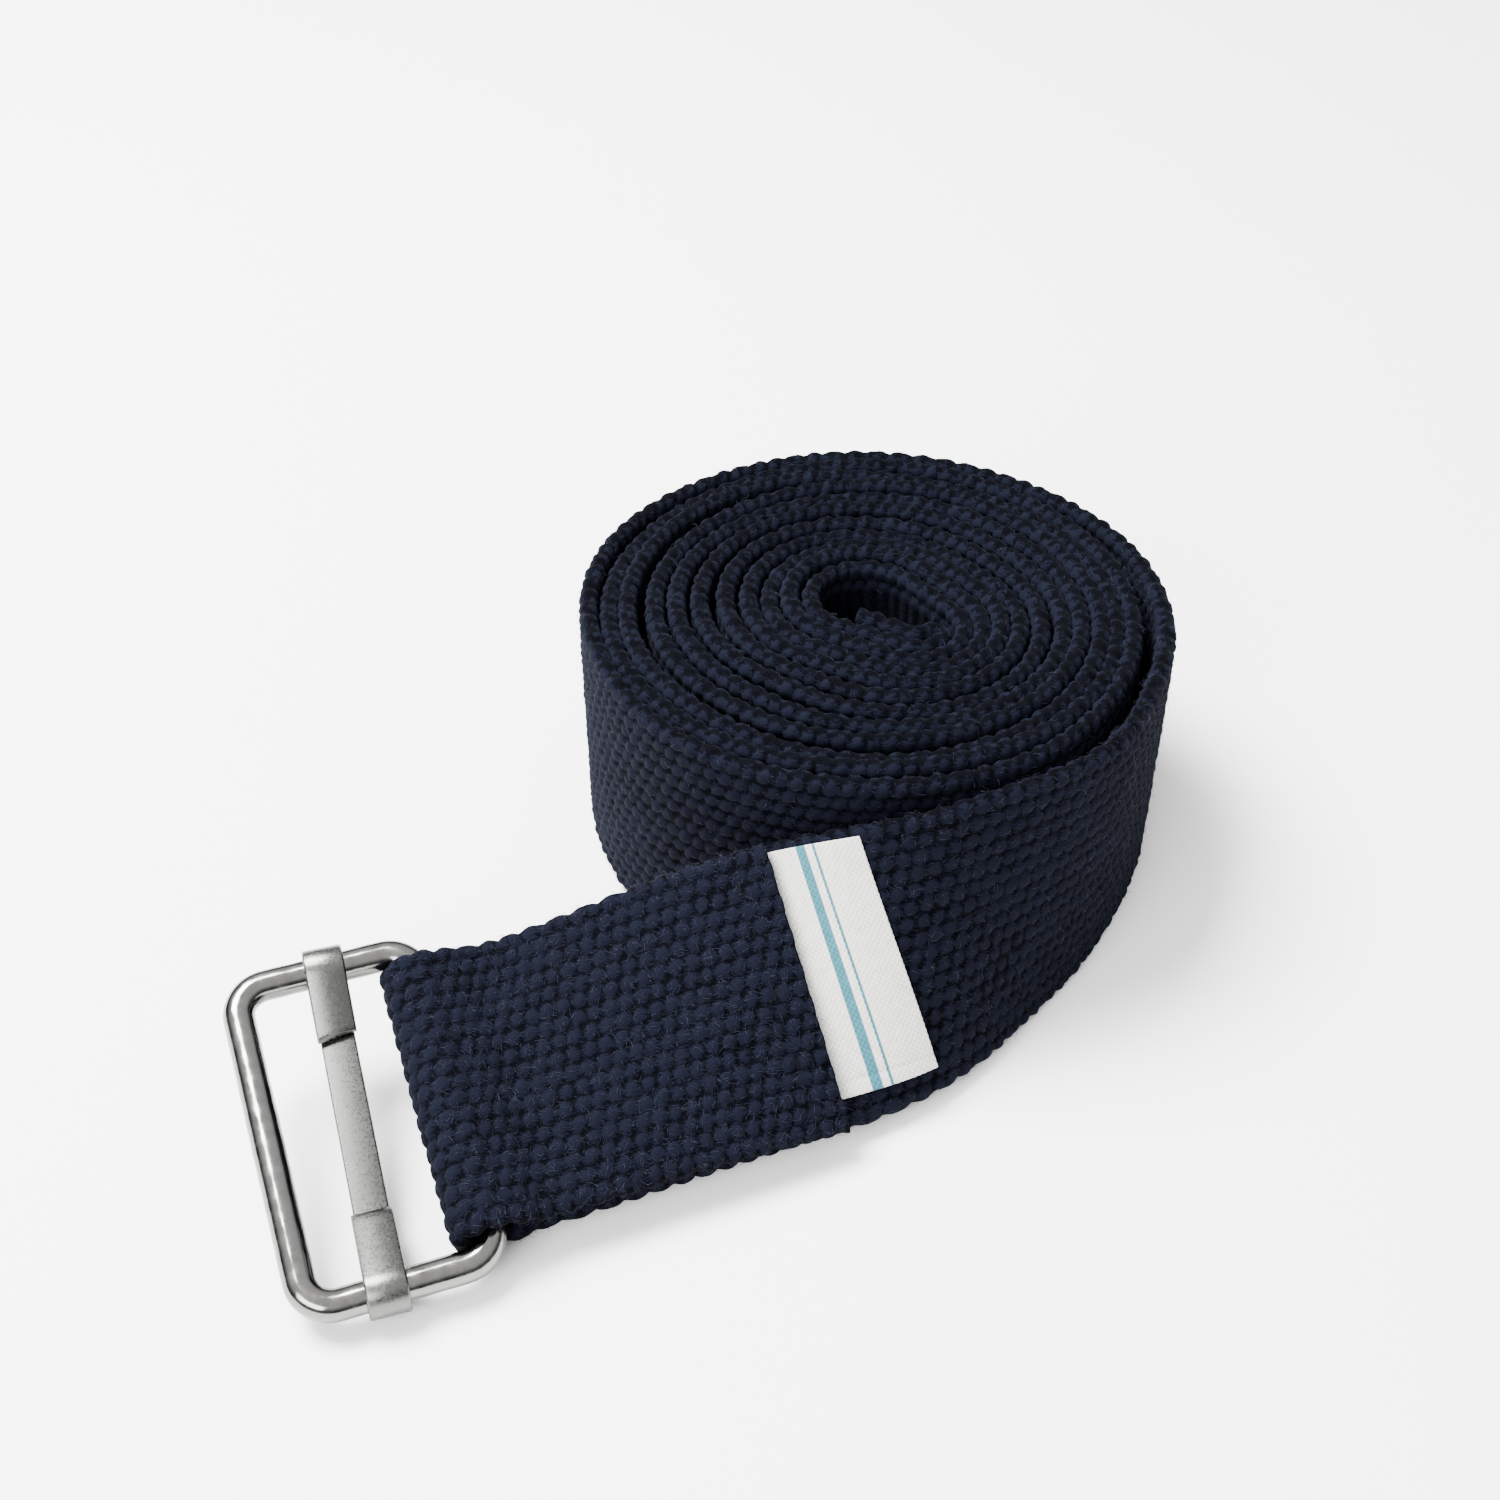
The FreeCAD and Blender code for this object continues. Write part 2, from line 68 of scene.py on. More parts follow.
# %% [markdown]
# ## Sizes
# They repeat the CAD part's sizes, so that the cloth lies where the CAD stretches are. The ply ends
# 0.8 mm sooner and the lead comes down to the surface later, as worn cloth does.

# %% Sizes in millimetres
WIDTH, THICK = 38.0, 2.4
PLY_GAP = 0.45                       # between the two plies, round the label's tape
LOOP_RADIUS, WIRE_RADIUS = 2.5, 2.0
TILT = math.radians(17.8)            # buckle end, far edge up
SEAM_AT, PLY_END = 12.0, 51.6        # from the fold
ROLL_RADIUS = 41.8
ROLL_AXIS = np.array([cad_high.x / MM - ROLL_RADIUS, cad_high.y / MM - ROLL_RADIUS, 0.0])
RUNS = [(14.0, 0.0), (6.0, 3.0), (32.8, 0.0), (26.0, 27.0), (12.0, 0.0), (31.5, 20.0)]
PATH_LENGTH = sum(length for length, turn in RUNS)
JOIN_ANGLE = math.radians(sum(turn for length, turn in RUNS) - 90)
TWIST_START, TWIST_END, LEVEL_END = 14.0, 110.0, 95.0
FLOOR_GAP = 0.2
END_SEAM_INSET = 4.2                 # end seam to the upper ply's end
HEM_LENGTH, HEM_GAP = 14.0, 0.15     # folded hem, and the room between its two layers
UP = np.array([0.0, 0.0, 1.0])


def smooth(x):
    """Smoothstep from 0 to 1, for numbers or arrays."""
    x = np.clip(x, 0.0, 1.0)
    return x * x * (3 - 2 * x)


# %% [markdown]
# ## The strap's path
# The webbing is followed as one length: from the upper ply's end, round the buckle's bar, along the
# twisting lead, round the loose outer turn and in to the hem at the eye.

# %% Buckle end and lead
ROW_STEP = 0.5                       # between rows of the path
LOOP_ROWS = 60


def near_edge(distance):
    """Point and heading of the strap's near edge, at a distance from the fold."""
    point, heading = np.zeros(3), 0.0
    for length, turn in RUNS:
        part = min(distance, length)
        turned = math.radians(turn) * part / length
        if turn:
            radius = length / math.radians(turn)
            point = point + radius * np.array([math.sin(heading + turned) - math.sin(heading),
                                               math.cos(heading) - math.cos(heading + turned), 0])
        else:
            point = point + part * np.array([math.cos(heading), math.sin(heading), 0])
        heading += turned
        distance -= part
        if distance <= 0:
            break
    return point, heading


def strap_axes(distance):
    """Near edge on the lower ply's upper face, and the directions across and out of the strap."""
    point, heading = near_edge(min(distance, PATH_LENGTH))
    if distance > PATH_LENGTH:
        turned = (distance - PATH_LENGTH) / ROLL_RADIUS
        angle = turned + JOIN_ANGLE
        point = ROLL_AXIS + ROLL_RADIUS * np.array([math.cos(angle), math.sin(angle), 0])
        heading += turned
    else:
        point = point + FOLD
    lean = TILT + (math.pi / 2 - TILT) * smooth((distance - TWIST_START) / (TWIST_END - TWIST_START))
    level = 1 - smooth((distance - SEAM_AT) / (LEVEL_END - SEAM_AT))
    left = np.array([-math.sin(heading), math.cos(heading), 0])
    along = np.array([math.cos(heading), math.sin(heading), 0])
    cross = left * math.cos(lean) + UP * math.sin(lean)
    raised = (LOOP_RADIUS - PLY_GAP / 2) * math.cos(TILT) * level
    base = point + UP * (THICK * math.cos(lean) + FLOOR_GAP + raised)
    return base, cross, np.cross(along, cross)


def strap_point(distance, across, out):
    """Point of the strap in the CAD part's terms."""
    base, cross, face = strap_axes(distance)
    return base + cross * across + face * out


def ply_samples(distances, out, side):
    """(base, cross, normal) rows on a ply. side +1 keeps the strap's upper face as the cloth's front."""
    rows = []
    for distance in distances:
        base, cross, face = strap_axes(distance)
        rows.append((base + face * out, cross, face * side))
    return rows


def loop_samples():
    """Rows round the buckle's bar, from the upper ply to the lower one."""
    base, cross, face = strap_axes(0.0)
    along = np.cross(cross, face)
    centre = np.array([THICK + LOOP_RADIUS, PLY_GAP / 2])
    radius = LOOP_RADIUS + THICK / 2
    rows = []
    seam_out = PLY_GAP / 2 + THICK / 2
    reach = SEAM_AT - centre[0]
    angle = math.atan2(seam_out, reach) + math.acos(radius / math.hypot(reach, seam_out))
    for turn in np.linspace(angle, 2 * math.pi - angle, LOOP_ROWS):
        normal = np.array([math.cos(turn), math.sin(turn)])
        spot = centre + normal * radius
        rows.append((base + along * spot[0] + face * spot[1], cross,
                     along * normal[0] + face * normal[1]))
    return rows


FOLD = (ROLL_AXIS + ROLL_RADIUS * np.array([math.cos(JOIN_ANGLE), math.sin(JOIN_ANGLE), 0])
        - near_edge(PATH_LENGTH)[0])
END_ROWS = ply_samples(np.arange(PLY_END, SEAM_AT - 0.01, -ROW_STEP), PLY_GAP + THICK / 2, 1)
LEAD_END = PATH_LENGTH - JOIN_ANGLE * ROLL_RADIUS
LEAD_ROWS = ply_samples(np.arange(SEAM_AT, LEAD_END, ROW_STEP), -THICK / 2, -1)
BAR_CENTRE = strap_point(0.0, WIDTH / 2, PLY_GAP / 2) + np.array([THICK + LOOP_RADIUS, 0, 0])
print("lead ends", round(LEAD_END, 1), "mm from the fold")

# %% Roll, wound from the outer turn in to the slot-shaped eye
OUTER_MIDDLE = ROLL_RADIUS - THICK / 2
LAST_TURN = 10.825                   # the hem ends at the eye's pointed end
TURNS_IN = [0, 0.25, 0.5, 0.75, 1, 1.5, 2, 3, 4, 5, 6, 7, 8, 9, 10]
MIDDLE_RADII = [36.9, 36.9, 36.8, 35.6, 34.2, 34.0, 31.4, 28.2, 25.2, 21.4, 17.9, 14.9, 11.9, 8.8, 5.2]
EYE_HALF_LENGTH, EYE_TURN = 5.4, math.radians(-63)
ROLL_SHIFT = np.array([-1.2, 0.5])   # the tight roll lies against the outer turn's left
EYE_SHIFT = np.array([0.9, -2.0])
EYE_TAPER = 0.16                     # the slot narrows towards one end
BOW, CLOSING = 0.9, 2.4              # the outer turn bows, then closes in on the roll
OUTER_ROWS_PER_TURN, INNER_ROWS_PER_TURN = 400, 240
SOFTENED_ROWS = 9


def outer_radius(turn):
    """Middle radius and centre of the outer turn: its second half closes in on the roll."""
    if turn < 0.5:
        return OUTER_MIDDLE - BOW * math.sin(4 * math.pi * turn), 0.0
    return OUTER_MIDDLE - CLOSING, -CLOSING


def inner_ray(turn):
    """Distance from the roll's axis to the middle of the cloth, for the tight turns."""
    depth = turn - 1.0
    radius = np.interp(depth, TURNS_IN, MIDDLE_RADII)
    share = depth / TURNS_IN[-1]
    half = EYE_HALF_LENGTH * min(share, 1.0)
    shift = ROLL_SHIFT + (EYE_SHIFT - ROLL_SHIFT) * smooth(share)
    angle = 2 * math.pi * turn
    ray = np.array([math.cos(angle), math.sin(angle)])
    slot = np.array([math.cos(EYE_TURN), math.sin(EYE_TURN)])
    best = 0.0
    for t in np.linspace(-1, 1, 21):
        spot = shift + slot * half * t
        here = radius * (1 - EYE_TAPER * share ** 3 * (t + 1))
        off = spot[0] * ray[1] - spot[1] * ray[0]
        if abs(off) < here:
            best = max(best, spot @ ray + math.sqrt(here * here - off * off))
    return best


def roll_samples():
    """Rows round the roll."""
    points = []
    for turn in np.arange(0.0, 1.0, 1 / OUTER_ROWS_PER_TURN):
        radius, centre = outer_radius(turn)
        angle = 2 * math.pi * turn
        points.append((centre + radius * math.cos(angle), radius * math.sin(angle)))
    outer_count = len(points)
    for turn in np.arange(1.0, LAST_TURN + 0.001, 1 / INNER_ROWS_PER_TURN):
        angle = 2 * math.pi * turn
        ray = inner_ray(turn)
        points.append((ray * math.cos(angle), ray * math.sin(angle)))
    flat = np.array(points)
    kernel = np.ones(SOFTENED_ROWS) / SOFTENED_ROWS
    edge, kept = SOFTENED_ROWS // 2, 6
    for axis in (0, 1):
        ends = np.full(edge, flat[0, axis]), np.full(edge, flat[-1, axis])
        softened = np.convolve(np.concatenate([ends[0], flat[:, axis], ends[1]]), kernel, mode="valid")
        flat[kept:-kept, axis] = softened[kept:-kept]
    ahead = np.gradient(flat, axis=0)
    ahead /= np.linalg.norm(ahead, axis=1)[:, None]
    inward = np.stack([-ahead[:, 1], ahead[:, 0]], axis=1)
    rows = []
    for (x, y), (nx, ny) in zip(flat, inward):
        rows.append((np.array([x, y, FLOOR_GAP]) + ROLL_AXIS, UP, np.array([nx, ny, 0.0])))
    return rows[:outer_count], rows[outer_count:]


def hem_samples(rows):
    """Rows that fold over at the free end and run back along the cloth's inside."""
    base, cross, inward = rows[-1]
    ahead = rows[-1][0] - rows[-2][0]
    ahead /= np.linalg.norm(ahead)
    half_step = (THICK + HEM_GAP) / 2
    made = []
    for turn in np.linspace(0, math.pi, 14)[1:]:
        normal = inward * math.cos(turn) - ahead * math.sin(turn)
        made.append((base + inward * half_step - normal * half_step, cross, normal))
    walked, index = 0.0, len(rows) - 1
    while walked < HEM_LENGTH:
        spot, across, facing = rows[index]
        made.append((spot + facing * half_step * 2, across, -facing))
        walked += np.linalg.norm(rows[index][0] - rows[index - 1][0])
        index -= 1
    return made


OUTER_ROWS, INNER_ROWS = roll_samples()
INNER_ROWS = INNER_ROWS + hem_samples(INNER_ROWS)
ALL_ROWS = END_ROWS + loop_samples() + LEAD_ROWS + OUTER_ROWS + INNER_ROWS
BASES = np.array([row[0] for row in ALL_ROWS])
CROSSES = np.array([row[1] for row in ALL_ROWS])
NORMALS = np.array([row[2] for row in ALL_ROWS])
centres = BASES + CROSSES * (WIDTH / 2)
LENGTHS = np.concatenate([[0.0], np.cumsum(np.linalg.norm(np.diff(centres, axis=0), axis=1))])
counts = np.cumsum([len(END_ROWS), LOOP_ROWS, len(LEAD_ROWS), len(OUTER_ROWS)])
PLY_STOP, LOOP_STOP, LEAD_STOP, OUTER_STOP = [LENGTHS[count] for count in counts]
CLOTH_LENGTH = LENGTHS[-1]
print("webbing followed for", round(CLOTH_LENGTH), "mm; outer turn starts at", round(LEAD_STOP, 1))


# %% [markdown]
# ## The weave
# Thick warp yarns run along the webbing and float over the hidden weft as rows of rounded bumps, each
# row half a bump ahead of the next. The selvedges are scalloped where the weft turns back.

# %% Height of the weave
ROW_COUNT = 17
ROW = WIDTH / ROW_COUNT
BUMP = 2.15                           # bump to bump along a yarn
BUMP_HEIGHT = 0.72
SLANT, ROW_REACH = 0.24, 0.63
ROW_JITTER = rng.uniform(-0.06, 0.06, ROW_COUNT + 1)
WAVE_PHASES = rng.uniform(0, 2 * math.pi, (6, ROW_COUNT + 1))


def scatter(*keys):
    """Repeatable random numbers from 0 to 1 for whole-number keys."""
    total = sum(np.asarray(key) * factor for key, factor in zip(keys, (127.1, 311.7, 74.7)))
    return np.modf(np.abs(np.sin(total) * 43758.5453))[0]


def drift(length, row, size):
    """Slow wander of a yarn along the strap."""
    row = row.astype(int)
    return size * (np.sin(length / 9.0 + WAVE_PHASES[0][row]) * 0.5
                   + np.sin(length / 21.0 + WAVE_PHASES[1][row]) * 0.5
                   + np.sin(length / 37.0) * 1.2)


def weave(length, across, side):
    """Share of the full bump height, 0 to 1, on the front (0) or the back (1).

    Each float is a dome that reaches into the gaps of the rows beside it, so the creases between the
    floats run slantwise."""
    place = np.clip(across / ROW, 0, ROW_COUNT - 1e-6)
    own = np.floor(place)
    tallest = np.zeros_like(place)
    for offset in (-1, 0, 1):
        row = np.clip(own + offset, 0, ROW_COUNT - 1)
        aside = place - row - 0.5
        ahead = length / BUMP + 0.5 * (row % 2) + ROW_JITTER[row.astype(int)] + 0.5 * side
        ahead = ahead + drift(length, row, 0.05) + SLANT * aside * (1 if side == 0 else -1)
        bump = np.floor(ahead)
        along = ahead - bump - 0.5
        grown = 0.95 + 0.10 * scatter(row, bump, side)
        reach = (np.abs(along) / (0.58 * grown)) ** 2.1 + (np.abs(aside) / (ROW_REACH * grown)) ** 2.1
        tall = 0.86 + 0.22 * scatter(row, bump, side + 5)
        tallest = np.maximum(tallest, tall * np.clip(1 - reach, 0, 1) ** 0.7)
    return np.maximum(tallest, 0.12)


def seam_dent(length):
    """How far each line of stitches pulls the cloth in, 0 to 1."""
    dent = np.zeros_like(length)
    for middle in SEAM_LINES:
        dent = np.maximum(dent, np.exp(-((length - middle) / 0.9) ** 2))
    return dent


SEAM_LINES = [END_SEAM_INSET, PLY_STOP - 0.5, LOOP_STOP + 0.5,
              LOOP_STOP + (PLY_END - END_SEAM_INSET - SEAM_AT)]
EDGE_ROUND = 1.5
SCALLOP = 3.3                         # knot to knot along a selvedge
YARN_DEPTH = 0.46                     # how far the core lies under the webbing's face
FLOOR_FLAT = 0.02                     # the cloth flattens where it stands
print("weave: %d rows of %.2f mm, bumps %.2f mm" % (ROW_COUNT, ROW, BUMP))


# %% [markdown]
# ## Cloth meshes
# Each stretch is a closed ribbon: a ring of points round the webbing's section is carried along the
# path and pushed out by the weave.

# %% Ribbon builder
BACK_SHIFT = 60                       # sets the back's texture apart from the front's
EDGE_POWER = 2.4                      # how square the section's rounded edges are
BAR_PRESS, BAR_REACH = 0.40, 2.8      # the fold is pressed thin round the buckle's bar
DENT_DEPTH, DENT_FLATTENS = 0.12, 0.45
KNOT_OUT, KNOT_BACK, KNOT_SWELL = 0.55, 0.35, 0.25
SELVEDGE_REACH = 1.1
LIFT_STARTS_OVER = 30.0               # the turns stand a little unevenly, past the lead


def cloth_rows(lengths):
    """Base, cross and normal at these lengths along the webbing."""
    base = np.stack([np.interp(lengths, LENGTHS, BASES[:, i]) for i in range(3)], axis=1)
    cross = np.stack([np.interp(lengths, LENGTHS, CROSSES[:, i]) for i in range(3)], axis=1)
    normal = np.stack([np.interp(lengths, LENGTHS, NORMALS[:, i]) for i in range(3)], axis=1)
    cross /= np.linalg.norm(cross, axis=1)[:, None]
    normal -= cross * (normal * cross).sum(1)[:, None]
    normal /= np.linalg.norm(normal, axis=1)[:, None]
    return base, cross, normal


def ring_of(across):
    """Section ring: front face from edge to edge and back along the back face."""
    front = np.array(across)
    back = front[::-1][1:-1]
    return np.concatenate([front, back]), np.concatenate([np.zeros(len(front)), np.ones(len(back))])


def mesh_object(name, points, faces, uv=None, crown=None, material=None):
    """Mesh object at the origin, in metres."""
    mesh = bpy.data.meshes.new(name)
    mesh.from_pydata((points * MM).tolist(), [], faces)
    mesh.shade_smooth()
    if uv is not None:
        layer = mesh.uv_layers.new(name="cloth")
        loops = np.empty(len(mesh.loops), int)
        mesh.loops.foreach_get("vertex_index", loops)
        layer.data.foreach_set("uv", uv[loops].ravel())
    if crown is not None:
        data = mesh.attributes.new("crown", "FLOAT", "POINT")
        data.data.foreach_set("value", crown.astype(np.float32))
    if material:
        mesh.materials.append(material)
    thing = bpy.data.objects.new(name, mesh)
    bpy.context.scene.collection.objects.link(thing)
    return thing


def face_height(length, from_edge, bumps):
    """Height of a face over the webbing's middle, with the yarns and the seams' dents."""
    rounding = np.sqrt(np.clip(1 - (np.clip(1 - from_edge / EDGE_ROUND, 0, 1)) ** EDGE_POWER, 0, 1))
    dent = seam_dent(length)
    thin = 1 - BAR_PRESS * np.exp(-(length / BAR_REACH) ** 2)
    half = (THICK / 2 - YARN_DEPTH) * thin * rounding
    yarns = BUMP_HEIGHT * bumps * rounding ** 0.7 * (1 - DENT_FLATTENS * dent)
    return np.maximum(half + yarns - DENT_DEPTH * dent, 0.0)


def selvedge(length, across, from_edge):
    """Sideways shift of the points, and how far the knots at the edges swell the section."""
    knot = np.abs(np.cos(math.pi * (length / SCALLOP + 0.22 * np.sin(length / 7.0))))
    share = np.exp(-from_edge / SELVEDGE_REACH)
    outward = np.where(across > WIDTH / 2, 1.0, -1.0)
    lift = 0.35 * np.sin(length / 23.0) + 0.22 * np.sin(length / 9.7 + 1.0)
    lift = (lift + 0.5) * np.clip((length - LEAD_STOP) / LIFT_STARTS_OVER, 0, 1)
    shift = outward * share * (KNOT_OUT * knot ** 0.8 - KNOT_BACK) + lift
    return shift, 1 + KNOT_SWELL * share * (knot - 0.5)


def ribbon(name, start, end, step, across, material):
    """Closed woven ribbon from start to end, in millimetres along the webbing."""
    count = int(round((end - start) / step)) + 1
    lengths = np.linspace(start, end, count)
    base, cross, normal = cloth_rows(lengths)
    ring, back = ring_of(across)
    size = len(ring)
    grid_length = np.repeat(lengths[:, None], size, 1)
    grid_across = np.repeat(ring[None, :], count, 0)
    bumps = np.where(back[None, :] > 0.5, weave(grid_length, grid_across, 1),
                     weave(grid_length, grid_across, 0))
    from_edge = np.minimum(grid_across, WIDTH - grid_across)
    out = face_height(grid_length, from_edge, bumps)
    out = np.where(back[None, :] > 0.5, -out, out)
    shift, swell = selvedge(grid_length, grid_across, from_edge)
    points = (base[:, None, :] + cross[:, None, :] * (grid_across + shift)[..., None]
              + normal[:, None, :] * (out * swell)[..., None])
    points = points.reshape(-1, 3)
    points[:, 2] = np.maximum(points[:, 2], FLOOR_FLAT)
    index = np.arange(count * size).reshape(count, size)
    beside = np.roll(index, -1, 1)
    faces = np.stack([index[:-1], beside[:-1], beside[1:], index[1:]], -1).reshape(-1, 4).tolist()
    faces += cap_faces(index[0], False) + cap_faces(index[-1], True)
    uv = np.stack([grid_length.ravel(), (grid_across + back[None, :] * BACK_SHIFT).ravel()], 1) * MM
    return mesh_object(name, points, faces, uv, bumps.ravel(), material)


def cap_faces(ring, flip):
    """Quads that close a section's end, from the front face to the back face."""
    size = len(ring)
    half = size // 2
    quads = []
    for i in range(half):
        quad = [ring[i], ring[(size - i) % size], ring[size - i - 1], ring[i + 1]]
        quad = [int(v) for v in dict.fromkeys(int(q) for q in quad)]
        if len(quad) > 2:
            quads.append(quad[::-1] if flip else quad)
    return quads


# %% [markdown]
# ## Materials
# All are procedural. The cloth uses its own metric UV map, so the yarn's fibres follow the webbing.

# %% Material helpers
def new_material(name):
    """Empty node material with its Principled shader."""
    made = bpy.data.materials.new(name)
    made.use_nodes = True
    return made, made.node_tree, made.node_tree.nodes["Principled BSDF"]


def node(tree, kind, **values):
    """Shader node with its inputs set by name."""
    made = tree.nodes.new(kind)
    for key, value in values.items():
        name = key.replace("_", " ")
        if name in made.inputs:
            made.inputs[name].default_value = value
        else:
            setattr(made, key, value)
    return made


def ramp(tree, source, stops):
    """Colour ramp fed by a value."""
    made = tree.nodes.new("ShaderNodeValToRGB")
    while len(made.color_ramp.elements) < len(stops):
        made.color_ramp.elements.new(0.5)
    for element, (place, colour) in zip(made.color_ramp.elements, stops):
        element.position = place
        element.color = colour if len(colour) == 4 else (*colour, 1)
    tree.links.new(source, made.inputs["Fac"])
    return made


# %% Webbing and thread
def cotton(name, dark, middle, light):
    """Matt navy cotton with streaks of paler fibre along the yarns; painted shade makes it darker between
    the yarns, where the crown is low.
    """
    made, tree, shader = new_material(name)
    link = tree.links.new
    uv = node(tree, "ShaderNodeUVMap", uv_map="cloth")
    stretch = node(tree, "ShaderNodeMapping", Scale=(1400, 4200, 1))
    link(uv.outputs["UV"], stretch.inputs["Vector"])
    fibres = node(tree, "ShaderNodeTexNoise", Scale=1.0, Detail=5.0, Roughness=0.65, Distortion=0.6)
    link(stretch.outputs["Vector"], fibres.inputs["Vector"])
    place = node(tree, "ShaderNodeTexCoord")
    mottle = node(tree, "ShaderNodeTexNoise", Scale=260.0, Detail=3.0, Roughness=0.6)
    link(place.outputs["Object"], mottle.inputs["Vector"])
    # Painted shade: the colour is darker where the crown attribute (the weave's height) is low, in the
    # creases between the yarns.
    crown = node(tree, "ShaderNodeAttribute", attribute_name="crown")
    mixed = node(tree, "ShaderNodeMath", operation="MULTIPLY_ADD")
    link(crown.outputs["Fac"], mixed.inputs[0])
    mixed.inputs[1].default_value = 0.55
    link(fibres.outputs["Fac"], mixed.inputs[2])
    total = node(tree, "ShaderNodeMath", operation="MULTIPLY_ADD")
    link(mottle.outputs["Fac"], total.inputs[0])
    total.inputs[1].default_value = 0.30
    link(mixed.outputs["Value"], total.inputs[2])
    colours = ramp(tree, total.outputs["Value"], [(0.58, dark), (0.90, middle), (1.0, light)])
    link(colours.outputs["Color"], shader.inputs["Base Color"])
    bump = node(tree, "ShaderNodeBump", Strength=0.7, Distance=0.00022)
    link(fibres.outputs["Fac"], bump.inputs["Height"])
    link(bump.outputs["Normal"], shader.inputs["Normal"])
    shader.inputs["Roughness"].default_value = 0.92
    shader.inputs["Specular IOR Level"].default_value = 0.03
    shader.inputs["Sheen Weight"].default_value = 0.008
    shader.inputs["Sheen Roughness"].default_value = 0.5
    shader.inputs["Sheen Tint"].default_value = (0.60, 0.65, 0.88, 1)
    return made


NAVY = cotton("navy_cotton", (0.0001, 0.00012, 0.0003), (0.0006, 0.00075, 0.0020),
              (0.0034, 0.0041, 0.0084))


def thread_material(name, low, high):
    """Spun thread or loose fibre, slightly uneven in colour."""
    made, tree, shader = new_material(name)
    place = node(tree, "ShaderNodeTexCoord")
    speck = node(tree, "ShaderNodeTexNoise", Scale=900.0, Detail=2.0)
    tree.links.new(place.outputs["Object"], speck.inputs["Vector"])
    colours = ramp(tree, speck.outputs["Fac"], [(0.35, low), (0.65, high)])
    tree.links.new(colours.outputs["Color"], shader.inputs["Base Color"])
    shader.inputs["Roughness"].default_value = 0.85
    shader.inputs["Specular IOR Level"].default_value = 0.08
    return made


THREAD = thread_material("navy_thread", (0.0004, 0.0005, 0.0014), (0.0012, 0.0015, 0.0040))
FUZZ = thread_material("navy_fuzz", (0.009, 0.010, 0.018), (0.034, 0.038, 0.058))
print("cotton materials ready")


# %% [markdown]
# ## Webbing stretches
# The visible outer stretches are dense all over. The inner turns are dense only near their two edges,
# which is all that shows of them.

# %% Build the webbing
def full_section():
    """Points across the whole width, five to a row of bumps, closer at the edges."""
    inner = np.arange(1, ROW_COUNT * 5) * (ROW / 5)
    inner = inner[(inner > 0.9) & (inner < WIDTH - 0.9)]
    edge = np.array([0.0, 0.10, 0.32, 0.62])
    return np.concatenate([edge, inner, WIDTH - edge[::-1]])


def edge_section():
    """Points dense near both edges, sparse between."""
    edge = np.array([0.0, 0.10, 0.32, 0.62, 0.95, 1.34, 1.79, 2.24, 2.7, 3.13, 3.6, 4.5])
    return np.concatenate([edge, [12.0, 19.0, 26.0], WIDTH - edge[::-1]])


FINE = 0.42
loop_piece = ribbon("webbing_loop_and_upper_ply", 0.0, LOOP_STOP, FINE, full_section(), NAVY)
lead_piece = ribbon("webbing_lower_ply_and_lead", LOOP_STOP, LEAD_STOP, FINE, full_section(), NAVY)
outer_piece = ribbon("webbing_outer_turn_cloth", LEAD_STOP, OUTER_STOP, 0.5, full_section(), NAVY)
middle_stop = OUTER_STOP + (CLOTH_LENGTH - OUTER_STOP) * 0.48
inner_pieces = [ribbon("webbing_inner_turns_a", OUTER_STOP, middle_stop, 0.5, edge_section(), NAVY),
                ribbon("webbing_inner_turns_b", middle_stop, CLOTH_LENGTH, 0.5, edge_section(), NAVY)]
for piece in (loop_piece, lead_piece, outer_piece, *inner_pieces):
    print(piece.name, len(piece.data.polygons) * 2, "triangles")
    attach(piece, "strap")
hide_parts("webbing_loop", "webbing_upper_ply")
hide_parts("webbing_lower_ply", "webbing_lead")
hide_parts("webbing_outer_turn")
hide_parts("webbing_inner_turns")
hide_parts("webbing_free_end_hem")

# %% [markdown]
# ## Stitches and loose fibres
# Both repeat, so Geometry Nodes place one small shape many times. Each result is made into a plain mesh.

# %% Node tools
def group_node(group, kind, inputs=None, **values):
    """Geometry node with settings by attribute name and inputs by name or number."""
    made = group.nodes.new(kind)
    for key, value in values.items():
        setattr(made, key, value)
    for key, value in (inputs or {}).items():
        made.inputs[key].default_value = value
    return made


def start_group(name, numbers):
    """Geometry Nodes group with a geometry socket and named number inputs."""
    group = bpy.data.node_groups.new(name, "GeometryNodeTree")
    group.interface.new_socket("Geometry", in_out="INPUT", socket_type="NodeSocketGeometry")
    for label, value in numbers.items():
        kind = "NodeSocketInt" if isinstance(value, int) else "NodeSocketFloat"
        group.interface.new_socket(label, in_out="INPUT", socket_type=kind).default_value = value
    group.interface.new_socket("Geometry", in_out="OUTPUT", socket_type="NodeSocketGeometry")
    return group, group.nodes.new("NodeGroupInput"), group.nodes.new("NodeGroupOutput")


def paint_and_return(group, instances, material, result):
    """Make the instances real, paint them and send them out of the group."""
    real = group_node(group, "GeometryNodeRealizeInstances")
    group.links.new(instances, real.inputs["Geometry"])
    painted = group_node(group, "GeometryNodeSetMaterial", {"Material": material})
    group.links.new(real.outputs["Geometry"], painted.inputs["Geometry"])
    group.links.new(painted.outputs["Geometry"], result.inputs["Geometry"])


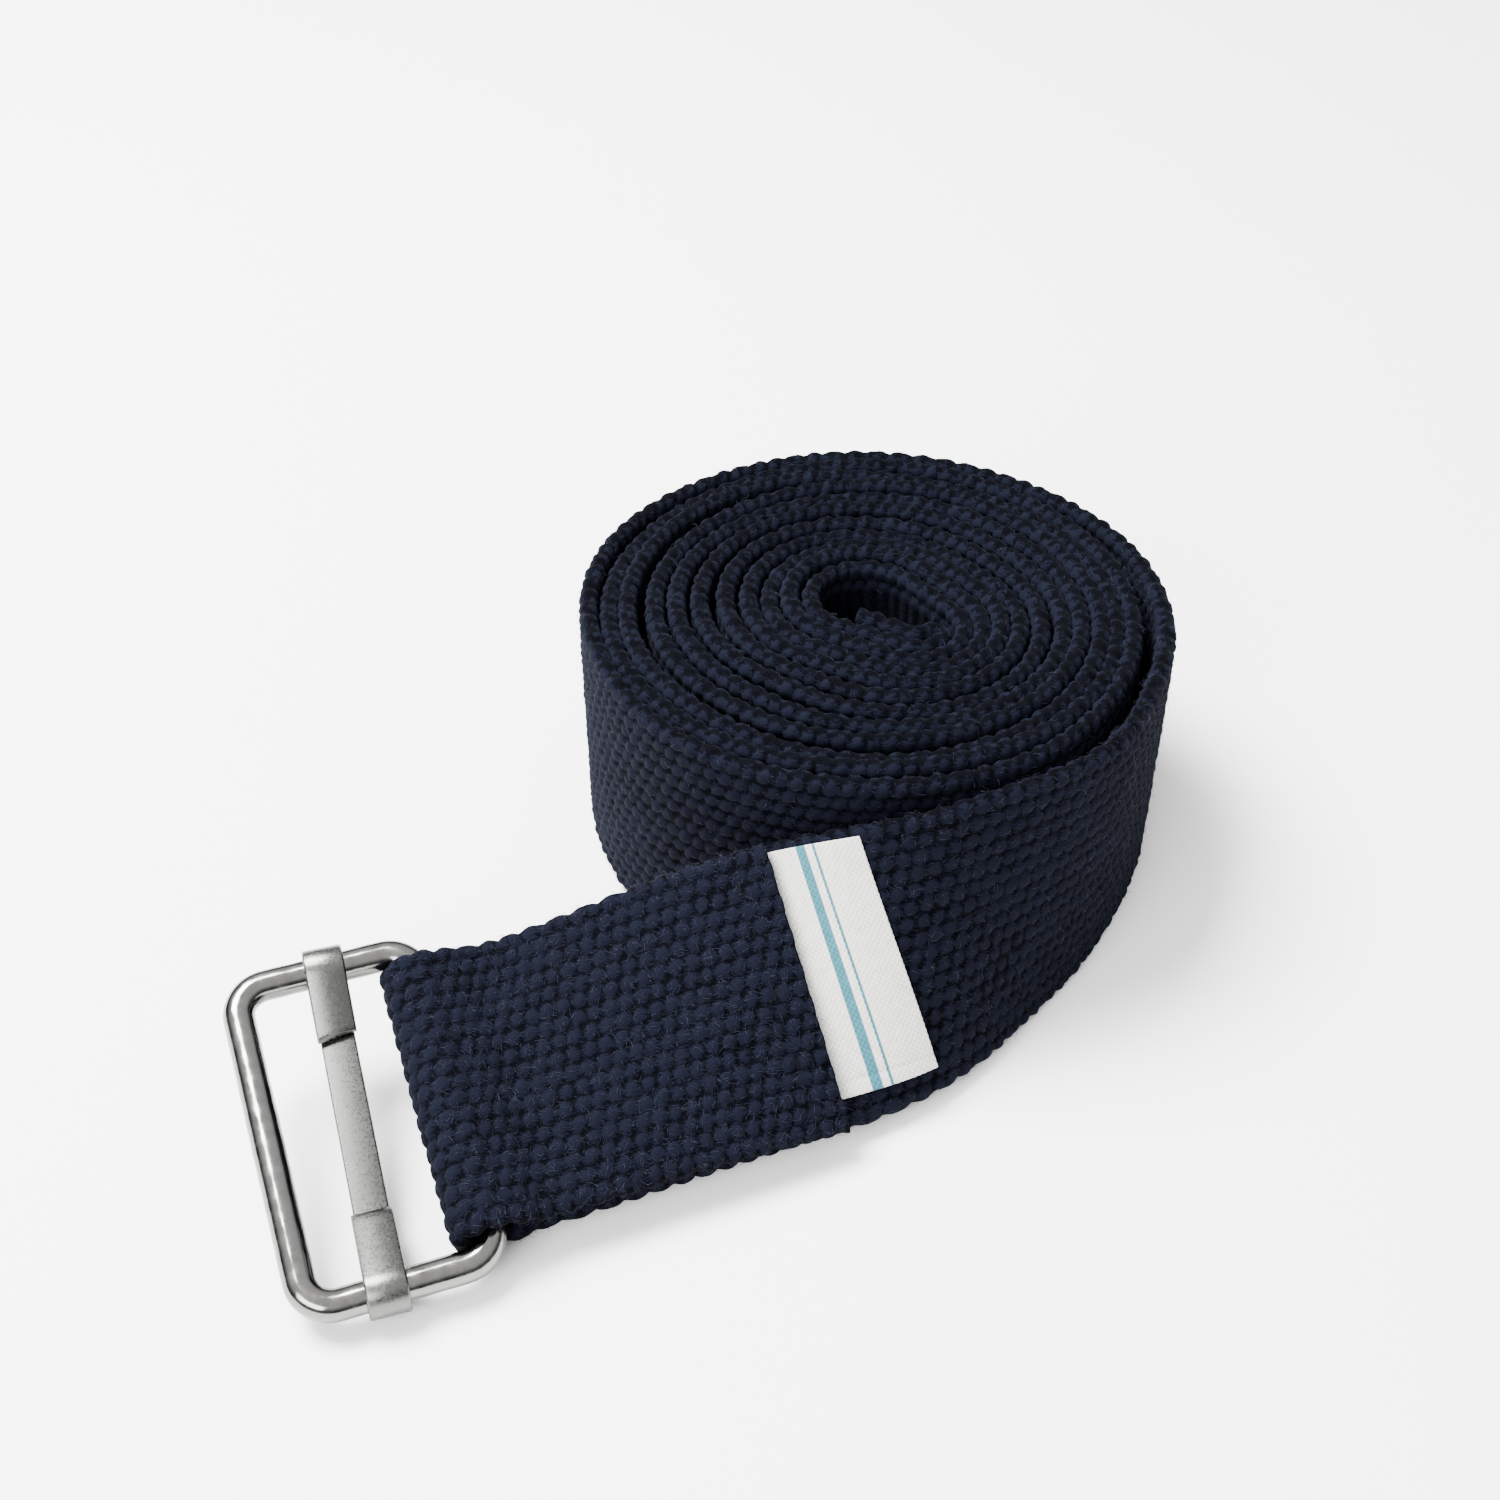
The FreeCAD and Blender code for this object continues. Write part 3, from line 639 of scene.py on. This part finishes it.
def tube_nodes(group, start, middle, end, sides, parts_long, thickness):
    """Short closed tube along a bent curve; its radius comes from a socket."""
    bend = group_node(group, "GeometryNodeCurveQuadraticBezier",
                      {"Resolution": parts_long, "Start": start, "Middle": middle, "End": end})
    ring = group_node(group, "GeometryNodeCurvePrimitiveCircle", {"Resolution": sides})
    tube = group_node(group, "GeometryNodeCurveToMesh", {"Fill Caps": True})
    group.links.new(thickness, ring.inputs["Radius"])
    group.links.new(bend.outputs["Curve"], tube.inputs["Curve"])
    group.links.new(ring.outputs["Curve"], tube.inputs["Profile Curve"])
    return tube.outputs["Mesh"]


def grown(name, source, group, material, slot):
    """Run the group on a copy of the source and keep the result as a plain mesh."""
    carrier = bpy.data.objects.new(name + "_source", source.data.copy())
    bpy.context.scene.collection.objects.link(carrier)
    carrier.modifiers.new("grow", "NODES").node_group = group
    shape = carrier.evaluated_get(bpy.context.evaluated_depsgraph_get())
    mesh = bpy.data.meshes.new_from_object(shape)
    bpy.data.objects.remove(carrier)
    mesh.materials.clear()
    mesh.materials.append(material)
    made = bpy.data.objects.new(name, mesh)
    bpy.context.scene.collection.objects.link(made)
    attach(made, "strap")
    print(name, len(mesh.polygons), "faces")
    return made


# %% Fuzz
FIBRE_RADIUS = 0.000017               # metres, as in all node groups
FIBRE_SHAPE = (0, 0, -0.0001), (0.0002, 0.0001, 0.00030), (0.0009, -0.0001, 0.00010)
FIBRE_TILT = (0.45, 0.35)
SMALLEST_FIBRE, LARGEST_FIBRE = (0.4, 0.6, 0.35), (1.5, 1.0, 1.5)
FULL_TURN = 6.283


def fuzz_group(name, count, seed):
    """Short bent fibres that lie over the cloth, most of them nearly flat."""
    group, given, result = start_group(name, {"Fibres per square metre": count, "Seed": seed,
                                              "Fibre radius": FIBRE_RADIUS})
    link = group.links.new
    spots = group_node(group, "GeometryNodeDistributePointsOnFaces")
    weight = group_node(group, "GeometryNodeInputNamedAttribute", {"Name": "open"}, data_type="FLOAT")
    share = group_node(group, "ShaderNodeMath", operation="MULTIPLY")
    link(given.outputs["Fibres per square metre"], share.inputs[0])
    link(weight.outputs["Attribute"], share.inputs[1])
    link(given.outputs["Geometry"], spots.inputs["Mesh"])
    link(share.outputs["Value"], spots.inputs["Density"])
    link(given.outputs["Seed"], spots.inputs["Seed"])
    low_turn = (-FIBRE_TILT[0], -FIBRE_TILT[1], 0.0)
    high_turn = (FIBRE_TILT[0], FIBRE_TILT[1], FULL_TURN)
    spin = group_node(group, "FunctionNodeRandomValue", {"Min": low_turn, "Max": high_turn},
                      data_type="FLOAT_VECTOR")
    link(given.outputs["Seed"], spin.inputs["Seed"])
    turned = group_node(group, "FunctionNodeRotateRotation", rotation_space="LOCAL")
    link(spots.outputs["Rotation"], turned.inputs["Rotation"])
    link(spin.outputs["Value"], turned.inputs["Rotate By"])
    size = group_node(group, "FunctionNodeRandomValue", {"Min": SMALLEST_FIBRE, "Max": LARGEST_FIBRE},
                      data_type="FLOAT_VECTOR")
    link(given.outputs["Seed"], size.inputs["Seed"])
    fibre = tube_nodes(group, *FIBRE_SHAPE, 3, 2, given.outputs["Fibre radius"])
    placed = group_node(group, "GeometryNodeInstanceOnPoints")
    link(spots.outputs["Points"], placed.inputs["Points"])
    link(fibre, placed.inputs["Instance"])
    link(turned.outputs["Rotation"], placed.inputs["Rotation"])
    link(size.outputs["Value"], placed.inputs["Scale"])
    paint_and_return(group, placed.outputs["Instances"], FUZZ, result)
    return group


def mark_open(piece, clear_of_bar, covered):
    """Share of fibres at each point: none round the wire, fewer in the creases and between plies."""
    data = piece.data
    spots = np.empty(len(data.vertices) * 3)
    data.vertices.foreach_get("co", spots)
    spots = spots.reshape(-1, 3)
    crown = np.empty(len(spots))
    data.attributes["crown"].data.foreach_get("value", crown)
    share = 0.3 + 0.9 * np.clip(crown, 0, 1)
    if clear_of_bar:
        flat = (spots / MM - BAR_CENTRE) @ np.array([[1, 0, 0], strap_axes(0.0)[2]]).T
        share[np.hypot(*flat.T) < WIRE_RADIUS + WIRE_ROOM] = 0.0
        share[flat[:, 0] < -WIRE_RADIUS - SLIDE_ROOM] = 0.0
    if covered:
        hidden = spots[:, 0] < strap_point(PLY_END - SEWN_TAPE, 0, 0)[0] * MM
        share[hidden] *= COVERED_SHARE
    data.attributes.new("open", "FLOAT", "POINT").data.foreach_set("value", share.astype(np.float32))


WIRE_ROOM, SLIDE_ROOM = 1.7, 1.0       # clear of fibres round the wire and before the slide bar
SEWN_TAPE, COVERED_SHARE = 4.0, 0.25
for seed, (piece, count) in enumerate(((loop_piece, 2.2e6), (lead_piece, 1.15e6), (outer_piece, 5.0e5),
                                       (inner_pieces[0], 1.9e5), (inner_pieces[1], 1.7e5))):
    mark_open(piece, piece is loop_piece, piece is lead_piece)
    grown(piece.name + "_fuzz", piece, fuzz_group(piece.name + "_fuzz", count, seed), FUZZ, "webbing")


# %% Stitches
FIRST_STITCH, STITCH_PITCH, STITCH_DEPTH = 4.0, 2.9, 0.45
THREAD_RADIUS = 0.0002
STITCH_SHAPE = (-0.0012, 0, -0.0005), (0, 0, 0.0006), (0.0012, 0, -0.0005)


def stitch_rows():
    """Middle, direction along the row and outward direction of every visible stitch."""
    rows = []
    for distance in (SEAM_AT, PLY_END - END_SEAM_INSET):
        base, cross, face = strap_axes(distance)
        for across in np.arange(FIRST_STITCH, WIDTH - 3.0, STITCH_PITCH):
            rows.append((base + cross * across + face * (PLY_GAP + THICK - STITCH_DEPTH), cross, face))
    return rows


def stitch_group(name):
    """One short thread, sunk at both ends, at every vertex of the source."""
    group, given, result = start_group(name, {"Thread radius": THREAD_RADIUS})
    link = group.links.new
    thread = tube_nodes(group, *STITCH_SHAPE, 8, 6, given.outputs["Thread radius"])
    lie = group_node(group, "GeometryNodeInputNamedAttribute", {"Name": "lie"}, data_type="FLOAT_VECTOR")
    placed = group_node(group, "GeometryNodeInstanceOnPoints")
    link(given.outputs["Geometry"], placed.inputs["Points"])
    link(thread, placed.inputs["Instance"])
    link(lie.outputs["Attribute"], placed.inputs["Rotation"])
    paint_and_return(group, placed.outputs["Instances"], THREAD, result)
    return group


rows = stitch_rows()
seam_points = mesh_object("seam_points", np.array([spot for spot, _, _ in rows]), [])
lie = seam_points.data.attributes.new("lie", "FLOAT_VECTOR", "POINT")
turns = [Matrix((cross, np.cross(face, cross), face)).transposed().to_euler() for _, cross, face in rows]
lie.data.foreach_set("vector", np.array([list(turn) for turn in turns], np.float32).ravel())
seams = grown("seam_stitches", seam_points, stitch_group("stitch_rows"), THREAD, "sewing_thread")
bpy.data.objects.remove(seam_points)
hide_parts("loop_seam_needle_thread", "loop_seam_bobbin_thread", "end_seam_needle_thread",
            "end_seam_bobbin_thread", "hem_seam_needle_thread", "hem_seam_bobbin_thread")

# %% [markdown]
# ## Buckle
# The frame is bent from round wire. The slide bar is one flat strip whose ends curl round the rails.

# %% Metal materials
def metal(name, colour, rough_low, rough_high, grain, bump_size):
    """Plated steel with fine pits and scratches; the crown attribute scales its colour, a painted shade
    that makes the slide strip's flat middle darker than its curls.
    """
    made, tree, shader = new_material(name)
    link = tree.links.new
    place = node(tree, "ShaderNodeTexCoord")
    fine = node(tree, "ShaderNodeTexNoise", Scale=grain, Detail=6.0, Roughness=0.7)
    link(place.outputs["Object"], fine.inputs["Vector"])
    broad = node(tree, "ShaderNodeTexNoise", Scale=grain / 2, Detail=3.0, Roughness=0.6)
    link(place.outputs["Object"], broad.inputs["Vector"])
    rough = node(tree, "ShaderNodeMapRange", To_Min=rough_low, To_Max=rough_high)
    rough.inputs["From Min"].default_value = 0.3
    rough.inputs["From Max"].default_value = 0.7
    link(broad.outputs["Fac"], rough.inputs["Value"])
    link(rough.outputs["Result"], shader.inputs["Roughness"])
    tint = ramp(tree, broad.outputs["Fac"], [(0.3, tuple(c * 0.82 for c in colour)), (0.7, colour)])
    # Painted shade: the crown attribute scales the base colour down to half, darkening the strip's flat
    # middle to hold back its bright reflection.
    painted_light_share = node(tree, "ShaderNodeAttribute", attribute_name="crown")
    bright = node(tree, "ShaderNodeMapRange", To_Min=0.50, To_Max=1.0)
    link(painted_light_share.outputs["Fac"], bright.inputs["Value"])
    shaded = node(tree, "ShaderNodeVectorMath", operation="SCALE")
    link(tint.outputs["Color"], shaded.inputs[0])
    link(bright.outputs["Result"], shaded.inputs["Scale"])
    link(shaded.outputs["Vector"], shader.inputs["Base Color"])
    bump = node(tree, "ShaderNodeBump", Strength=1.0, Distance=bump_size)
    link(fine.outputs["Fac"], bump.inputs["Height"])
    link(bump.outputs["Normal"], shader.inputs["Normal"])
    shader.inputs["Metallic"].default_value = 1.0
    return made


WIRE = metal("nickel_wire", (0.19, 0.187, 0.18), 0.10, 0.22, 1400.0, 0.000010)
STRIP = metal("blasted_strip", (0.13, 0.13, 0.123), 0.22, 0.36, 5200.0, 0.000026)
BUCKLE_AXES = np.array([[1, 0, 0], [0, math.cos(TILT), math.sin(TILT)],
                        [0, -math.sin(TILT), math.cos(TILT)]])


def buckle_space(points):
    """From the buckle's own flat frame to the part's frame."""
    return BAR_CENTRE + np.asarray(points) @ BUCKLE_AXES


def tube_faces(count, size, closed):
    """Quads of a swept ring."""
    index = np.arange(count * size).reshape(count, size)
    following = np.roll(index, -1, 0) if closed else index[1:]
    here = index if closed else index[:-1]
    quads = np.stack([here, np.roll(here, -1, 1), np.roll(following, -1, 1), following], -1)
    return quads.reshape(-1, 4).tolist()


# %% Buckle frame
RAIL, BAR_GAP, CORNER = 21.5, 23.0, 4.0


def wire_path(step):
    """Rounded rectangle of the wire's centre line, with its outward direction."""
    spots = []
    for cx, cy, first in ((-CORNER, RAIL - CORNER, 0), (CORNER - BAR_GAP, RAIL - CORNER, 90),
                          (CORNER - BAR_GAP, CORNER - RAIL, 180), (-CORNER, CORNER - RAIL, 270)):
        for turn in np.radians(np.linspace(first, first + 90, 14)):
            spots.append((cx + CORNER * math.cos(turn), cy + CORNER * math.sin(turn),
                          math.cos(turn), math.sin(turn)))
    spots = np.array(spots + spots[:1])
    length = np.concatenate([[0], np.cumsum(np.linalg.norm(np.diff(spots[:, :2], axis=0), axis=1))])
    at = np.linspace(0, length[-1], int(length[-1] / step), endpoint=False)
    return np.stack([np.interp(at, length, spots[:, i]) for i in range(4)], 1), at


def build_frame():
    """Bent wire, very slightly uneven, as drawn and tumbled wire is."""
    path, at = wire_path(0.45)
    turns = np.linspace(0, 2 * math.pi, 32, endpoint=False)
    points = []
    for (x, y, nx, ny), length in zip(path, at):
        size = math.hypot(nx, ny)
        sag = 0.05 * math.sin(length / 11.0) + 0.03 * math.sin(length / 4.3 + 2)
        radius = WIRE_RADIUS * (1 + 0.008 * math.sin(length / 3.1) + 0.006 * math.sin(length * 1.7))
        for turn in turns:
            out = radius * math.cos(turn)
            points.append((x + nx / size * out, y + ny / size * out, radius * math.sin(turn) + sag))
    faces = tube_faces(len(path), len(turns), True)
    return mesh_object("buckle_wire_frame", buckle_space(points), faces,
                       crown=np.ones(len(points)), material=WIRE)


wire_frame = build_frame()
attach(wire_frame, "buckle")
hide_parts("buckle_frame")

# %% Slide bar
SLIDE_THICK, STRIP_HALF, CURL_HALF = 1.2, 2.2, 2.55
CURL_MIDDLE = WIRE_RADIUS + 0.3 + SLIDE_THICK / 2
FAR_LAP, NEAR_LAP = 8.8, 10.8          # rail to the lap's sheared end
LAP_DOME = 0.55                        # the rolled ends bow a little across their width
SLIDE_AT, SLIDE_SKEW = -12.4, math.radians(2.9)


def slide_side(lap):
    """Centre line (y, z) about the rail, outward direction and width share, from the lap's end in."""
    drop = -CURL_MIDDLE + SLIDE_THICK + 0.02
    lap_angle = math.atan2(drop, -lap) % (2 * math.pi) - math.acos(CURL_MIDDLE / math.hypot(lap, drop))
    side = []
    touch = np.array([math.cos(lap_angle), math.sin(lap_angle)]) * CURL_MIDDLE
    end = np.array([-lap, drop])
    for share in np.linspace(0, 1, 14)[:-1]:
        side.append((*(end + (touch - end) * share), math.cos(lap_angle), math.sin(lap_angle), 1.0))
    for turn in np.linspace(lap_angle, -math.pi / 2, 36):
        side.append((CURL_MIDDLE * math.cos(turn), CURL_MIDDLE * math.sin(turn),
                     math.cos(turn), math.sin(turn), 1.0))
    for share in np.linspace(0, 1, 40)[1:]:
        reach_in = share * RAIL
        wide = 1 - smooth((reach_in - 0.5) / 3.5)
        side.append((-reach_in, -CURL_MIDDLE, 0.0, -1.0, wide))
    return side


def slide_path():
    """The whole strip, from one lap's end to the other."""
    far = [(RAIL + y, z, ny, nz, wide) for y, z, ny, nz, wide in slide_side(FAR_LAP)]
    near = [(-RAIL - y, z, -ny, nz, wide) for y, z, ny, nz, wide in slide_side(NEAR_LAP)]
    return np.array(far + near[::-1][1:])


def strip_section(half_width):
    """Rounded flat section (x, out): half a thickness each way, with worn corners."""
    half, worn = SLIDE_THICK / 2, 0.28
    ring = []
    for cx, cz, first in ((half_width - worn, half - worn, 0), (worn - half_width, half - worn, 90),
                          (worn - half_width, worn - half, 180), (half_width - worn, worn - half, 270)):
        for turn in np.radians(np.linspace(first, first + 90, 5)):
            ring.append((cx + worn * math.cos(turn), cz + worn * math.sin(turn)))
    return ring


def build_slide():
    """Strip and curls as one sweep. The lap ends are sheared off roughly."""
    path = slide_path()
    points, size = [], 0
    last = len(path) - 1
    for number, (y, z, ny, nz, wide) in enumerate(path):
        ring = strip_section(STRIP_HALF + (CURL_HALF - STRIP_HALF) * wide)
        size = len(ring)
        for x, out in ring:
            out -= LAP_DOME * wide * (x / CURL_HALF) ** 2
            rough = 0.0
            if number in (0, last):
                rough = 0.35 * math.sin(x * 2.3 + number) + 0.18 * math.sin(x * 7.1 + out * 5)
            points.append((x, y + ny * out + rough * (1 if number else -1), z + nz * out))
    points = np.array(points)
    spun = points.copy()
    spun[:, 0] = SLIDE_AT + points[:, 0] * math.cos(SLIDE_SKEW) + points[:, 1] * math.sin(SLIDE_SKEW)
    spun[:, 1] = points[:, 1] * math.cos(SLIDE_SKEW) - points[:, 0] * math.sin(SLIDE_SKEW)
    faces = tube_faces(len(path), size, False)
    faces += [list(range(size))[::-1], list(range(last * size, (last + 1) * size))]
    # Painted shade: the strip's flat middle (wide 0) gets half the colour of the curls, to dim its
    # reflection.
    painted_light_share = np.repeat(path[:, 4], size)
    return mesh_object("slide_strip", buckle_space(spun), faces, crown=painted_light_share, material=STRIP)


slide_piece = build_slide()
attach(slide_piece, "slider")
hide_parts("slide_bar")
print("buckle:", len(wire_frame.data.polygons), "and", len(slide_piece.data.polygons), "faces")

# %% [markdown]
# ## Label
# A short cotton tape. Its left edge is caught under the upper ply, and the rest lies free on the lead.

# %% Label tape
LABEL_NEAR, LABEL_LENGTH, LABEL_WIDTH, TAPE = 4.0, 33.0, 14.5, 0.35
LABEL_START = PLY_END - SEWN_TAPE


TAPE_STEP, TAPE_THREAD = 0.14, 0.42
STRIPE_AT, THIN_STRIPE_AT = 9.8, 11.9  # two plain dyed stripes, from the sewn edge


def label_material():
    """Off-white plain-woven tape with two dyed stripes; painted shade makes it darker in the dips between
    the raised threads.
    """
    made, tree, shader = new_material("label_cotton")
    link = tree.links.new
    place = node(tree, "ShaderNodeTexCoord")
    tone = node(tree, "ShaderNodeTexNoise", Scale=900.0, Detail=4.0, Roughness=0.6)
    link(place.outputs["Object"], tone.inputs["Vector"])
    # Painted shade: the crown attribute (the raised threads) lightens the colour, so the dips between the
    # threads are darker.
    crown = node(tree, "ShaderNodeAttribute", attribute_name="crown")
    both = node(tree, "ShaderNodeMath", operation="MULTIPLY_ADD")
    link(tone.outputs["Fac"], both.inputs[0])
    both.inputs[1].default_value = 0.5
    link(crown.outputs["Fac"], both.inputs[2])
    colours = ramp(tree, both.outputs["Value"], [(0.2, (0.36, 0.35, 0.325)), (0.80, (0.66, 0.65, 0.62))])
    dyed = ramp(tree, both.outputs["Value"], [(0.2, (0.006, 0.055, 0.075)), (0.80, (0.022, 0.155, 0.20))])
    mark = node(tree, "ShaderNodeAttribute", attribute_name="mark")
    mixed = node(tree, "ShaderNodeMix", data_type="RGBA")
    link(mark.outputs["Fac"], mixed.inputs["Factor"])
    link(colours.outputs["Color"], mixed.inputs["A"])
    link(dyed.outputs["Color"], mixed.inputs["B"])
    link(mixed.outputs["Result"], shader.inputs["Base Color"])
    shader.inputs["Roughness"].default_value = 0.85
    shader.inputs["Sheen Weight"].default_value = 0.15
    return made


def build_label():
    """Woven tape with a slightly lifted free edge."""
    along = np.arange(0, 4.5 + LABEL_WIDTH + 0.01, TAPE_STEP)
    across = np.arange(0, LABEL_LENGTH + 0.01, TAPE_STEP)
    count, size = len(along), len(across)
    frames = [strap_axes(LABEL_START + d) for d in along]
    sheets, crowns = [], []
    for side in (1, -1):
        free = smooth((along - 4.5) / 13.0)
        lift = 0.75 * free[:, None] * (0.5 + 0.5 * np.cos((across - 4) / 9.0)[None, :]) + 0.12
        u = along[:, None] / TAPE_THREAD
        v = across[None, :] / TAPE_THREAD
        check = 0.5 + 0.5 * np.cos(math.pi * u) * np.cos(math.pi * v) * side
        edge = np.minimum.reduce([np.minimum(across, LABEL_LENGTH - across)[None, :] + 0 * u,
                                  (along[-1] - along)[:, None] + 0 * v])
        fold = -0.10 * np.exp(-((across - 2.0) / 0.35) ** 2)[None, :] * (side > 0)
        body = TAPE / 2 * np.sqrt(np.clip(edge / 0.15, 0.05, 1)) + 0.07 * check
        height = lift + fold + side * body + TAPE / 2
        spot = np.array([[base + cross * (LABEL_NEAR + a) + face * height[i, j]
                          for j, a in enumerate(across)]
                         for i, (base, cross, face) in enumerate(frames)])
        sheets.append(spot.reshape(-1, 3))
        # Painted shade: the crown follows the threads' height, for darker dips.
        crowns.append((check * 0.5).ravel())
    points = np.concatenate(sheets)
    index = np.arange(count * size).reshape(count, size)
    top = np.stack([index[:-1, :-1], index[1:, :-1], index[1:, 1:], index[:-1, 1:]], -1).reshape(-1, 4)
    bottom = top[:, ::-1] + count * size
    rim = np.concatenate([index[:, 0], index[-1, 1:], index[::-1, -1][1:], index[0, ::-1][1:-1]])
    wall = np.stack([rim, rim + count * size, np.roll(rim, -1) + count * size, np.roll(rim, -1)], -1)
    faces = np.concatenate([top, bottom, wall]).tolist()
    tape = mesh_object("label_tape", points, faces, None, np.concatenate(crowns), label_material())
    stripes = (np.abs(along - STRIPE_AT) < 0.8) | (np.abs(along - THIN_STRIPE_AT) < 0.25)
    woven = np.concatenate([np.repeat(stripes, size), np.zeros(count * size)])
    tape.data.attributes.new("mark", "FLOAT", "POINT").data.foreach_set("value", woven.astype(np.float32))
    return tape


label_piece = build_label()
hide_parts("label", "label_sewn_edge")
seam_start = strap_point(PLY_END + 0.1, 19.0, 0.0) * MM
seam_end = strap_point(PLY_END + 1.4, 19.0, 0.0) * MM
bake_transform(label_piece)
print("label:", len(label_piece.data.polygons), "faces")

# %% [markdown]
# ## Floor, light and camera
# A plain pale sheet under soft studio light, seen from the front left and above.

# %% Stage
bpy.ops.mesh.primitive_plane_add(size=6.0, location=(0, 0, 0))
floor = bpy.context.object
floor.name = "floor"
paper, tree, shader = new_material("paper")
place = node(tree, "ShaderNodeTexCoord")
grain = node(tree, "ShaderNodeTexNoise", Scale=3.0, Detail=2.0)
tree.links.new(place.outputs["Object"], grain.inputs["Vector"])
pale = ramp(tree, grain.outputs["Fac"], [(0.3, (0.94, 0.94, 0.94)), (0.7, (0.965, 0.965, 0.965))])
tree.links.new(pale.outputs["Color"], shader.inputs["Base Color"])
shader.inputs["Roughness"].default_value = 0.9
floor.data.materials.append(paper)

world = bpy.data.worlds.new("studio")
bpy.context.scene.world = world
world.use_nodes = True
sky = world.node_tree
direction = node(sky, "ShaderNodeTexCoord")
parts = node(sky, "ShaderNodeSeparateXYZ")
sky.links.new(direction.outputs["Generated"], parts.inputs["Vector"])
shade = ramp(sky, parts.outputs["Z"], [(0.0, (0.10, 0.10, 0.10)), (0.30, (0.10, 0.10, 0.10)),
                                       (0.60, (0.80, 0.80, 0.81)), (1.0, (1.0, 1.0, 1.0))])
sky.links.new(shade.outputs["Color"], sky.nodes["Background"].inputs["Color"])
sky.nodes["Background"].inputs["Strength"].default_value = 1.9


def softbox(name, place, aim, size, power):
    """Rectangular area light aimed at a point."""
    light = bpy.data.lights.new(name, "AREA")
    light.shape = "RECTANGLE"
    light.size, light.size_y = size
    light.energy = power
    thing = bpy.data.objects.new(name, light)
    thing.location = place
    thing.rotation_euler = (Vector(aim) - Vector(place)).to_track_quat("-Z", "Y").to_euler()
    bpy.context.scene.collection.objects.link(thing)
    return thing


softbox("key", (-0.30, 0.30, 0.80), (0, 0, 0.02), (0.45, 0.45), 52.0)
softbox("fill", (-0.55, -0.45, 0.45), (0, 0, 0.02), (0.5, 0.3), 11.0)

CAMERA_DISTANCE = 0.3158
camera_data = bpy.data.cameras.new("camera")
camera_data.lens, camera_data.sensor_width = 47.5, 36.0
camera = bpy.data.objects.new("camera", camera_data)
camera_aim = Vector((ROLL_AXIS[0] - 12.6, ROLL_AXIS[1] + 18.5, 0.0)) * MM
camera_back = Vector((-0.0837, -0.2301, 0.2054)).normalized()
camera.location = camera_aim + camera_back * CAMERA_DISTANCE
camera.rotation_euler = (-camera_back).to_track_quat("-Z", "Y").to_euler()
bpy.context.scene.collection.objects.link(camera)
bpy.context.scene.camera = camera
